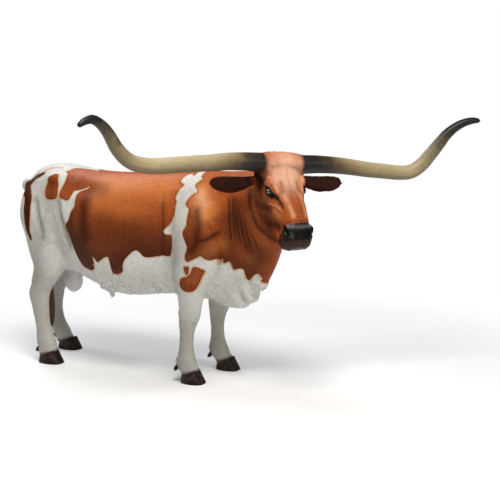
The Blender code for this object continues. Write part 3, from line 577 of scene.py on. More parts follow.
relief = {
    # Lengths in millimetres. A stroke: its points' coordinates by turns, its width and its height.
    # seen from the side, on both flanks: x and height; last comes the share on the left side
    "folds": (
        ((425, 1340, 446, 1230, 462, 1120, 466, 1000, 460, 890, 450, 780), 15, -4.2, 1),
        ((745, 1000, 787, 1003, 815, 1020, 840, 1045), 17, -6.5, 0.8),
        ((500, 870, 530, 790, 548, 710), 14, -4, 1),
        ((-430, 1235, -401, 1129, -370, 1060, -333, 970, -284, 867), 32, -19, 1),
        ((-622, 1223, -600, 1118, -568, 1027, -527, 943), 30, -18, 1),
        ((620, 1330, 655, 1250, 672, 1170), 20, -3, 1), ((-300, 760, -215, 735, -120, 700), 18, 5, 1),
    ),
    "hollows": (
        ((485, 1310, 492, 1150, 490, 1000, 480, 860), 60, -7, 1),
        ((700, 1260, 727, 1130, 733, 1050, 728, 970, 700, 920), 32, -8.5, 1),
        ((-340, 1315, -185, 1285, -30, 1285), 50, -10, 1), ((-167, 1192, -155, 1078, -126, 954), 40, -7, 1),
        ((-340, 1392, -278, 1374, -185, 1357, -105, 1348, -10, 1344), 22, 6.5, 1),
        ((610, 1385, 665, 1250, 690, 1120), 45, 6, 1), ((620, 840, 600, 930, 590, 1030), 75, 6, 1),
        ((760, 870, 820, 900, 850, 955), 45, 10, 1), ((770, 1250, 795, 1180, 810, 1110), 50, 7.5, 1),
        ((-520, 1130, -500, 1060, -500, 970, -470, 880), 45, 18, 1),
        ((-700, 1180, -690, 1060, -650, 940), 35, 7, 1), ((-360, 1180, -330, 1080, -290, 980), 45, 6, 1),
        ((640, 760, 620, 700, 610, 640), 50, 6, 1), ((560, 790, 600, 860, 680, 880), 30, -5, 1),
        ((100, 640, 300, 660, 470, 720), 30, 4, 1), ((-560, 780, -540, 850, -500, 900), 45, 6, 1),
    ),
    # round the brisket: x, distance from the middle (begun beyond it, so that it is whole there), height
    "brisket": (
        ((1050, -60, 618, 1050, 0, 618, 1035, 45, 625, 1020, 85, 675, 1010, 110, 735, 1030, 125, 800), 17,
          -17),
        ((1100, -60, 672, 1100, 0, 672, 1082, 55, 690, 1074, 85, 740), 28, 13),
        ((1015, -60, 575, 1015, 0, 575, 1000, 60, 595, 985, 105, 680), 20, 9),
        ((975, -60, 552, 975, 0, 552, 965, 65, 575, 950, 115, 640, 945, 145, 730), 15, -11),
        ((925, -60, 528, 925, 0, 528, 920, 80, 560, 900, 135, 640), 26, 7),
        ((860, -60, 520, 860, 0, 520, 850, 90, 560, 830, 150, 650), 20, -6),
        ((1090, 30, 705, 1070, 85, 745, 1085, 100, 800), 11, -6),
    ),
    # folds of the neck, drawn in on the right, where it bends, and slack on the left
    "neck": (
        (886, 1300, 905, 1183, 911, 1078, 918, 964), (909, 1310, 934, 1185, 944, 1080, 958, 975),
        (932, 1312, 956, 1186, 967, 1080, 988, 960),
        (958, 1305, 983, 1167, 999, 1055, 1022, 962, 1043, 888),
        (973, 1315, 1007, 1188, 1027, 1070, 1050, 970, 1071, 896),
        (1007, 1300, 1029, 1169, 1057, 1072, 1092, 972, 1123, 898),
        (1040, 1268, 1060, 1152, 1092, 1060, 1134, 988),
    ),
    "neckWidth": 12, "neckDepth": -7, "neckLeft": 0.35,
    # they waver towards the crest: share of their depth, length in metres, lean, and from where to where up
    "neckRipple": {"share": 0.55, "length": 0.024, "lean": 40, "from": 1.16, "to": 1.26},
    "jaw": ((1045, -150, 1330, 1052, -156, 1301, 1068, -174, 1192, 1090, -172, 1140, 1115, -165, 1095,
             1163, -158, 1057, 1221, -128, 1011), 11, -6),
    # on the face: left, along, front
    "face": (
        ((-3, 10, 56, 0, 85, 53, 0, 170, 53), 9, -2.2),
        ((-60, 42, 53, 0, 42, 53, 70, 42, 52, 135, 40, 44), 24, 4.5),
        ((0, 230, 60, 0, 330, 90, 0, 410, 98), 30, 3),
        ((128, 85, 10, 118, 130, 24, 104, 175, 34, 92, 215, 38, 87, 260, 44), 13, 9),
        ((58, 150, 50, 60, 189, 52, 64, 224, 55), 9, -3),
        ((78, 140, 45, 78, 180, 48, 78, 222, 50), 8, -2.8),
        ((112, 215, 12, 103, 245, 22, 95, 276, 34, 88, 305, 39, 81, 342, 50), 13, -8.5),
        ((122, 250, -45, 116, 270, -30, 104, 296, 6, 94, 325, 25, 86, 365, 40), 9, 6),
        ((78, 452, 70, 40, 447, 94, 0, 449, 98), 12, 4.5), ((82, 455, 66, 89, 500, 52, 84, 545, 34), 12, 4),
        ((30, 500, 90, 30, 530, 78), 22, -2.5), ((70, 575, -20, 50, 582, -20), 16, 4.5),
        ((134, 205, -175, 128, 246, -146, 120, 273, -99, 114, 289, -60), 18, -5),
        ((97, 385, -105, 94, 400, -60, 90, 420, -30), 20, -3.5),
        ((150, 60, -60, 140, 105, -75, 135, 140, -85), 26, -6),
        ((139, 100, -230, 135, 190, -235, 120, 265, -235, 95, 335, -225), 22, 4.5),
    ),
    # on the ears' front, in the head's frame: left, forward, up
    "ear": (
        ((150, -80, -150, 200, -70, -128, 250, -60, -108, 310, -50, -100), 9, 5),
        ((175, -80, -150, 230, -75, -135, 300, -70, -128, 380, -65, -124), 12, -5),
    ),
    # full places beside the jaw and under the eye: middle, half sizes, height
    "cheeks": (((130, 195, -165), (40, 75, 65), 6), ((100, 325, -30), (30, 45, 35), 3.5)),
    "mouth": ((0, 565.5, 42, 45, 562, 38, 74, 550, 26, 92, 526, 0, 94, 490, -34, 91, 445, -66,
               90, 425, -78), 5.5, -7.5),
    "lowerLip": ((0, 576, 20, 45, 573, 14, 78, 560, -4, 92, 530, -30, 93, 490, -62), 12, 3.5),
    # a comma: its middle line and half width, how deep it is, how soft its edge, its rim, where it aims
    "nostril": {
        "comma": (72, 523, 60, 5, 79, 510, 56, 11,
                  85, 488, 50, 14, 88, 463, 43, 10.5, 86, 442, 33, 4),
        "depth": 24, "edge": (3.5, -6.5), "rim": (7.5, 6, 3.2), "aim": (-0.75, -0.10, -0.62),
    },
    # round the legs: turn from the front towards the outside, height, size in turn and height, swelling
    "fore": (
        (0, 462, 0.9, 50, 5), (0, 412, 0.7, 12, -3), (180, 475, 0.45, 20, 8), (100, 450, 0.4, 26, 3.5),
        (-100, 450, 0.4, 26, 3.5), (180, 290, 0.4, 85, 3.5), (128, 290, 0.3, 85, -4.5),
        (-128, 290, 0.3, 85, -4.5), (90, 172, 0.5, 22, 4), (-90, 172, 0.5, 22, 4), (0, 120, 0.8, 14, -3.5),
        (180, 150, 0.35, 20, 5), (60, 620, 0.5, 90, 4), (150, 600, 0.4, 70, -4), (0, 295, 0.35, 90, 2),
    ),
    "hind": (
        (180, 548, 0.45, 24, 9), (125, 640, 0.35, 55, -11), (-125, 640, 0.35, 55, -11),
        (180, 650, 0.3, 70, 6), (90, 520, 0.45, 30, 4.5), (-90, 520, 0.45, 30, 4.5), (10, 500, 0.55, 30, 4),
        (0, 452, 0.7, 16, -3), (180, 340, 0.4, 100, 3.5), (128, 350, 0.3, 100, -4.5),
        (-128, 350, 0.3, 100, -4.5), (90, 172, 0.5, 24, 4), (-90, 172, 0.5, 24, 4), (0, 118, 0.8, 14, -3.5),
        (180, 150, 0.35, 20, 5), (20, 760, 0.6, 50, 6), (40, 640, 0.5, 60, 3),
    ),
}


# where points lie round their leg: the turn from its front towards its outside
def roundLeg(points, kind):
    x, spread, z, depth, half = finer(legs[kind], 2).T
    order = np.argsort(z)
    height = points[:, 2]
    side = np.sign(points[:, 1])
    shift = np.where(side > 0, shiftAt(kind, 1, height), 0.0)
    along = points[:, 0] - shift - np.interp(height, z[order], x[order])
    across = side * points[:, 1] - np.interp(height, z[order], spread[order])
    ratio = np.interp(height, z[order], (depth / half)[order])
    return np.arctan2(across * ratio, along)


# the middle of a foot's sole along x, and how much its coronet rises forwards
def soleX(kind, side):
    return hoofs[kind]["leftX"] if side > 0 else hoofs[kind]["sole"][0]


def coronetSlope(kind):
    hoof = hoofs[kind]
    return (hoof["front"] - hoof["heel"]) / (hoof["length"] * hoofs["coronetShare"])


def coronetHeight(kind, side, x):
    middle = (hoofs[kind]["front"] + hoofs[kind]["heel"]) / 2
    return middle + coronetSlope(kind) * (x - soleX(kind, side))


def modelSkin(points, normals):
    x, y, z = points.T
    masks = regionMasks(points)
    face = masks["face"]
    body = np.clip(1 - masks["head"] - masks["ear"] - masks["tail"], 0, 1)
    move = np.zeros(len(points))

    flank = sideView(points)
    facing = {side: ease(0.05, 0.45, side * normals[:, 1]) * body for side in (-1, 1)}
    for name, isFold in (("folds", True), ("hollows", False)):
        for line, width, height, leftShare in relief[name]:
            bell = height * stroke(flank, line, width, fold=isFold)
            move += bell * (facing[-1] + leftShare * facing[1])
    ripple = relief["neckRipple"]
    wave = np.sin(z * 2 * math.pi / ripple["length"] + ripple["lean"] * x)
    wrinkle = 1 + ripple["share"] * wave * ease(ripple["from"], ripple["to"], z)
    for line in relief["neck"]:
        bell = relief["neckDepth"] * stroke(flank, line, relief["neckWidth"], fold=True) * wrinkle
        move += bell * (facing[-1] + relief["neckLeft"] * facing[1])
    line, width, height = relief["jaw"]
    move += height * stroke(points, line, width) * (1 - masks["ear"])
    for line, width, height in relief["brisket"]:
        move += height * stroke(folded(points, 1), line, width) * body

    for kind, inPart in (("fore", x > -0.1), ("hind", x <= -0.1)):
        turn = roundLeg(points, kind)
        onLeg = inPart * ease(0.82, 0.70, z) * (1 - masks["tail"]) * ease(0.05, 0.10, np.abs(y))
        for degrees, height, wide, tall, lift in relief[kind]:
            off = np.angle(np.exp(1j * (turn - math.radians(degrees))))
            move += lift * onLeg * np.exp(-(off / wide) ** 2 - ((1000 * z - height) / tall) ** 2)

    mirrored = folded(face, 0)
    for line, width, height in relief["face"]:
        move += height * stroke(mirrored, line, width) * (1 - masks["ear"])
    for middle, sizes, height in relief["cheeks"]:
        move += height * np.exp(-np.sum(((mirrored - metres(middle)) / metres(sizes)) ** 2, axis=1))
    onEars = folded(masks["side"], 0)
    drop = np.where(masks["side"][:, 0] > 0, ear["leftDrop"], 0.0)
    onEars[:, 2] += drop * ease(0.10, 0.48, onEars[:, 0])
    for line, width, height in relief["ear"]:
        move += height * stroke(onEars, line, width)
    line, width, height = relief["mouth"]
    move += height * stroke(mirrored, line, width, fade=0, steps=16)
    line, width, height = relief["lowerLip"]
    move += height * stroke(mirrored, line, width)

    # the nostrils: a comma pressed inwards, with a raised rim
    nostril = relief["nostril"]
    comma = finer(metres(nostril["comma"], 4), 5)
    gap, share = nearLine(mirrored, comma[:, :3])
    gap = 1000 * (gap - np.interp(share, np.linspace(0, 1, len(comma)), comma[:, 3]))
    press = nostril["depth"] * ease(*nostril["edge"], gap)
    rimAt, rimWidth, rimHeight = nostril["rim"]
    move += rimHeight * np.exp(-((gap - rimAt) / rimWidth) ** 2)
    side = np.sign(face[:, 0])
    left, along, front = nostril["aim"]
    inwards = facePoints(side * left, along, front) - facePoints(0 * side, 0.0, 0.0)
    return points + (normals * move[:, None] + inwards * press[:, None]) / 1000


# The eyes: their axes in the face's frame, the opening between the lids and the lids themselves

eye.update({
    "place": (0.1225, 0.1900, -0.0125), "long": (-0.20, 0.85, 0.40), "out": (0.88, -0.05, 0.45),
    # half length in front of and behind the middle, half height over and under it
    "opening": (0.0300, 0.0275, 0.0158, 0.0128),
    "lid": 0.0042, "reach": (0.052, 0.043), "turns": 96, "rows": 24,
    # the rim: how wide each row is against the opening, and how far it lies off the ball
    "rim": ((1.22, -0.0030), (1.00, -0.0002), (1.02, 0.0026)),
    # creases of the upper and the lower lid: how far out, width, depth
    "upperCreases": ((0.34, 0.055, 0.0026), (0.22, 0.060, -0.0012), (0.60, 0.060, 0.0014)),
    "lowerCreases": ((0.30, 0.050, 0.0015), (0.52, 0.060, 0.0015)),
    "soft": 0.0035, "sunkBy": 0.0022, "socketDip": 0.0045, "socketDepth": 0.012,
})


# an eye's own frame: its middle and its three axes (long, up, out) in the body's frame
def eyeFrame(side):
    base = facePoints(0.0, 0.0, 0.0)
    flip = np.array([side, 1.0, 1.0])
    out = np.array(eye["out"]) / np.linalg.norm(eye["out"])
    run = np.array(eye["long"]) - out * np.dot(out, eye["long"])
    run /= np.linalg.norm(run)
    up = np.cross(run, out)
    if up[1] > 0:
        up = -up
    axes = [facePoints(*(axis * flip)) - base for axis in (run, up, out)]
    return facePoints(*(np.array(eye["place"]) * flip)), np.array(axes)


def inEyeFrame(points, side):
    middle, axes = eyeFrame(side)
    return (points - middle) @ axes.T


# how far a point of the eye's face lies outside the opening, as a share of the opening's size
def openingShare(a, b):
    front, back, above, below = eye["opening"]
    wide = np.where(a > 0, front, back)
    tall = np.where(b > 0, above, below)
    return np.sqrt((a / wide) ** 2 + (np.abs(b) / tall) ** 2)


# the height of the skin over the eye's middle plane, a bell-weighted mean of the skin's points nearby
def skinHeight(a, b, local, width=0.0035):
    near = local[(np.abs(local[:, 0]) < 0.075) & (np.abs(local[:, 1]) < 0.07) & (local[:, 2] > -0.05)]
    heights = np.empty(a.size)
    for start in range(0, a.size, 512):
        part = slice(start, start + 512)
        gap = (a.ravel()[part, None] - near[:, 0]) ** 2 + (b.ravel()[part, None] - near[:, 1]) ** 2
        weight = np.exp(-gap / width ** 2) + 1e-12
        heights[part] = (weight * near[:, 2]).sum(axis=1) / weight.sum(axis=1)
    return heights.reshape(a.shape)


# The lids: a strip round the opening. From under the lid it runs over the rounded rim, out along the ball
# with a crease here and there, and on until it is level with the skin round it.
def lidShell(side, skinPoints):
    local = inEyeFrame(skinPoints, side)
    front, back, above, below = eye["opening"]
    angle = around(eye["turns"])[None, :]
    wide = np.where(np.cos(angle) > 0, front, back)
    tall = np.where(np.sin(angle) > 0, above, below)
    edgeA, edgeB = wide * np.cos(angle), tall * np.sin(angle) * np.abs(np.sin(angle)) ** 0.25
    ringA, ringB = eye["reach"][0] * np.cos(angle), eye["reach"][1] * np.sin(angle)
    t = (np.linspace(0, 1, eye["rows"]) ** 1.25)[:, None]
    a, b = edgeA + (ringA - edgeA) * t, edgeB + (ringB - edgeB) * t
    thick = eye["lid"] * (1 - 0.35 * ease(0.1, 0.6, t))
    ball = np.sqrt(np.maximum((eye["radius"] + thick) ** 2 - a ** 2 - b ** 2, 0.009 ** 2))
    ball = ball - 0.012 * ease(0.018, 0.045, np.hypot(a, b))
    flat = skinHeight(a, b, local)
    height = eye["soft"] * np.logaddexp(ball / eye["soft"], flat / eye["soft"])
    upper = ease(-0.1, 0.5, np.sin(angle))
    for share, creases in ((upper, eye["upperCreases"]), (1 - upper, eye["lowerCreases"])):
        for at, width, depth in creases:
            height = height - share * depth * np.exp(-((t - at) / width) ** 2)
    height = height + (flat - height) * ease(0.72, 1.0, t)
    rows = []
    for grow, lift in eye["rim"]:
        ra, rb = edgeA * grow, edgeB * grow
        reach = np.maximum((eye["radius"] + lift) ** 2 - ra ** 2 - rb ** 2, (0.006 + lift) ** 2)
        rows.append(np.stack([ra, rb, np.sqrt(reach)], axis=-1))
    rows.append(np.stack([a, b, height], axis=-1))
    # the last row lies under the skin
    a, b = ringA * 1.10, ringB * 1.10
    rows.append(np.stack([a, b, skinHeight(a, b, local) - eye["sunkBy"]], axis=-1))
    grid = np.vstack(rows)
    middle, axes = eyeFrame(side)
    points = grid.reshape(-1, 3) @ axes + middle
    faces = walls(*grid.shape[:2])
    a, b, c = points[faces[len(faces) // 2]]
    if np.dot(np.cross(b - a, c - a), axes[2]) < 0:
        faces = faces[:, ::-1]
    return points, faces


# room for the ball and the lids: the skin sinks a little under the lids and well in behind the ball
def sinkSockets(points):
    for side in (-1, 1):
        local = inEyeFrame(points, side)
        near = local[:, 2] > -0.05
        ring = np.hypot(local[:, 0] / eye["reach"][0], local[:, 1] / eye["reach"][1])
        dip = eye["socketDip"] * ease(1.06, 0.88, ring) * near
        deep = ease(1.55, 1.15, openingShare(local[:, 0], local[:, 1])) * near
        target = np.minimum(local[:, 2] - dip, local[:, 2] * (1 - deep) - eye["socketDepth"] * deep)
        move = np.where(near & (ring < 1.2), target - local[:, 2], 0.0)
        points = points + move[:, None] * eyeFrame(side)[1][2]
    return points


# the legs end just under their coronets, on a level that slopes with them
def endAtCoronets(points):
    for kind in ("fore", "hind"):
        for side in (-1, 1):
            sole = soleX(kind, side)
            inPart = (side * points[:, 1] > 0) & (np.abs(points[:, 0] - sole) < 0.25) & (points[:, 2] < 0.2)
            level = coronetHeight(kind, side, points[:, 0]) - 0.001
            depth = level - points[:, 2]
            below = inPart & (depth > 0)
            points[below, 2] = level[below] - 0.06 * depth[below]
            pull = np.minimum(1.2 * depth[below], 0.5)
            for axis, centre in ((0, sole - 0.018), (1, side * hoofs[kind]["sole"][1])):
                points[below, axis] -= pull * (points[below, axis] - centre)
    return points


# The markings. They lie in a plane of x and the way up the skin, which is the height up to the widest
# place and runs round the barrel above it, to 1600 at the backbone. The left side goes on from there, so
# that a patch can cross the back. An outline's x and height come by turns, in millimetres.

markings = {
    "flank": (
        -215, 1552, -300, 1550, -370, 1523, -403, 1505, -421, 1462, -439, 1433, -414, 1420, -397, 1353,
        -405, 1306, -415, 1255, -413, 1230, -387, 1216, -347, 1205, -322, 1213, -307, 1255, -299, 1279,
        -262, 1286, -200, 1303, -168, 1318, -187, 1290, -242, 1273, -258, 1249, -262, 1225, -256, 1183,
        -259, 1151, -283, 1125, -298, 1073, -329, 1036, -319, 1007, -282, 939, -259, 884, -237, 835, -213,
        785, -191, 758, -155, 743, -110, 737, -80, 763, -73, 841, -54, 818, -35, 805, 10, 834, 34, 846, 60,
        848, 69, 806, 73, 740, 89, 729, 121, 729, 160, 754, 165, 791, 193, 843, 243, 888, 282, 910, 315,
        887, 333, 867, 373, 863, 457, 879, 520, 884, 533, 1001, 519, 1020, 483, 1022, 464, 1044, 511, 1092,
        546, 1148, 546, 1217, 548, 1242, 532, 1265, 543, 1308, 563, 1375, 529, 1399, 535, 1463, 572, 1511,
        600, 1475, 605, 1532, 610, 1610, 585, 1680, 530, 1720, 560, 1800, 575, 1860, 540, 1930, 490, 1990,
        520, 2060, 500, 2140, 460, 2200, 470, 2270, 420, 2330, 350, 2310, 290, 2260, 230, 2290, 200, 2370,
        130, 2430, 60, 2410, 30, 2340, -30, 2320, -80, 2390, -140, 2460, -220, 2450, -260, 2370, -310, 2290,
        -300, 2190, -350, 2110, -330, 2010, -260, 1960, -300, 1900, -390, 1880, -430, 1810, -400, 1730,
        -330, 1690, -280, 1640,
    ),
    "neck": (
        655, 1610, 661, 1546, 666, 1467, 680, 1448, 654, 1399, 652, 1377, 676, 1348, 674, 1326, 650, 1308,
        634, 1277, 623, 1224, 653, 1196, 651, 1124, 652, 1085, 629, 1040, 650, 998, 671, 947, 653, 892, 656,
        865, 676, 857, 735, 884, 770, 901, 806, 878, 829, 873, 864, 878, 860, 837, 884, 846, 900, 850, 918,
        820, 920, 794, 967, 805, 993, 795, 996, 739, 1004, 725, 1020, 726, 1061, 766, 1075, 771, 1092, 763,
        1103, 733, 1115, 700, 1400, 560, 2100, 560, 2100, 2640, 1400, 2640, 1115, 2500, 1080, 2440, 1020,
        2470, 980, 2400, 930, 2410, 890, 2330, 830, 2350, 780, 2290, 720, 2330, 670, 2280, 640, 2200, 665,
        2120, 620, 2060, 650, 1980, 690, 1900, 650, 1820, 670, 1750, 690, 1680,
    ),
    "armDrop": (642, 817, 667, 824, 681, 817, 678, 793, 671, 772, 658, 762, 642, 797),
    "arm": (
        703, 808, 719, 823, 740, 822, 765, 811, 790, 797, 773, 770, 746, 719, 713, 669, 685, 650, 650, 648,
        621, 660, 604, 683, 603, 711, 613, 732, 640, 749, 662, 750, 695, 787,
    ),
    "leftArm": (
        640, 2420, 700, 2390, 760, 2410, 750, 2470, 690, 2500, 640, 2540, 600, 2500, 610, 2450,
    ),
    "rump": (
        -546, 1344, -513, 1359, -463, 1375, -449, 1318, -435, 1232, -449, 1215, -484, 1207, -522, 1212,
        -540, 1236, -548, 1271, -542, 1325,
    ),
    "leftRump": (
        -560, 1800, -500, 1780, -460, 1830, -450, 1920, -480, 1990, -540, 2000, -570, 1930, -590, 1860,
    ),
    "leftThigh": (-640, 2110, -590, 2090, -550, 2150, -560, 2230, -610, 2260, -650, 2190),
    # down the back of each thigh: middle and half width
    "buttock": (
        -625, -160, 1388, 14, -705, -170, 1340, 34, -748, -188, 1285, 48, -700, -235, 1225, 40, -690, -265,
        1150, 36, -680, -280, 1060, 31, -668, -288, 980, 25, -650, -293, 925, 12,
    ),
    # a thin line over the rump
    "rumpLine": (-688, 1401, -649, 1420, -610, 1452, -564, 1467, -502, 1481),
    "rumpLineHalf": 4.2,
    # the barrel: height of its widest place, its half height and half width, length of the way over it
    "barrel": (1.0, 0.44, 0.33, 0.6),
}


def markingPlane(points):
    level, tall, wide, way = markings["barrel"]
    x, y, z = points.T
    turn = np.arctan2((z - level) / tall, np.abs(y) / wide)
    height = np.where(z > level, level + way * turn / (math.pi / 2), z)
    top = level + way
    return np.column_stack([x, np.where(y > 0, 2 * top - height, height)])


# signed distance to a patch's rounded outline in that plane, positive inside, by its edges in turn
def patchDepth(plane, outline, steps=3):
    rows = metres(outline, 2)
    edge = finer(np.vstack([rows[-1:], rows, rows[:2]]), steps)[steps:steps * (len(rows) + 1)]
    reach = 0.10
    near = np.all((plane > edge.min(axis=0) - reach) & (plane < edge.max(axis=0) + reach), axis=1)
    q = plane[near]
    best = np.full(len(q), 1e9)
    inside = np.zeros(len(q), bool)
    for a, b in zip(edge, np.roll(edge, -1, axis=0)):
        run = b - a
        t = np.clip((q - a) @ run / max(run @ run, 1e-12), 0, 1)
        best = np.minimum(best, np.hypot(*(q - a - t[:, None] * run).T))
        crosses = (a[1] > q[:, 1]) != (b[1] > q[:, 1])
        with np.errstate(divide="ignore", invalid="ignore"):
            where = a[0] + (q[:, 1] - a[1]) / (b[1] - a[1]) * run[0]
        inside ^= crosses & (q[:, 0] < where)
    depth = np.full(len(plane), -reach)
    depth[near] = np.clip(np.where(inside, best, -best), -reach, reach)
    return depth


# how deep in the brown each point lies, in metres, negative in the white
def brownDepth(points, masks):
    plane = markingPlane(points)
    depth = np.full(len(points), -0.10)
    for name in ("flank", "neck", "armDrop", "arm", "leftArm", "rump", "leftRump", "leftThigh"):
        depth = np.maximum(depth, patchDepth(plane, markings[name]))
    band = finer(metres(markings["buttock"], 4), 4)
    for side in (-1, 1):
        gap, share = nearLine(points * (1, -side, 1), band[:, :3])
        depth = np.maximum(depth, np.interp(share, np.linspace(0, 1, len(band)), band[:, 3]) - gap)
    gap, share = nearLine(plane, finer(metres(markings["rumpLine"], 2), 4))
    thin = markings["rumpLineHalf"] / 1000 * (1 - 0.6 * share)
    depth = np.maximum(depth, thin - gap)
    allBrown = np.maximum(masks["head"], masks["ear"]) > 0.5
    low = ease(0.34, 0.46, masks["tailShare"])
    depth = np.where(masks["tail"] > 0.5, np.maximum(depth, 0.10 * (2 * low - 1)), depth)
    return np.where(allBrown, 0.10, depth)


# The airbrush: soft strokes of paint, each a line, a width and a strength. Those of "side" are seen from
# the side (x, height), of "body" in the body's frame, of "half" in that frame on both its sides, of "face"
# in the face's frame on both its sides.

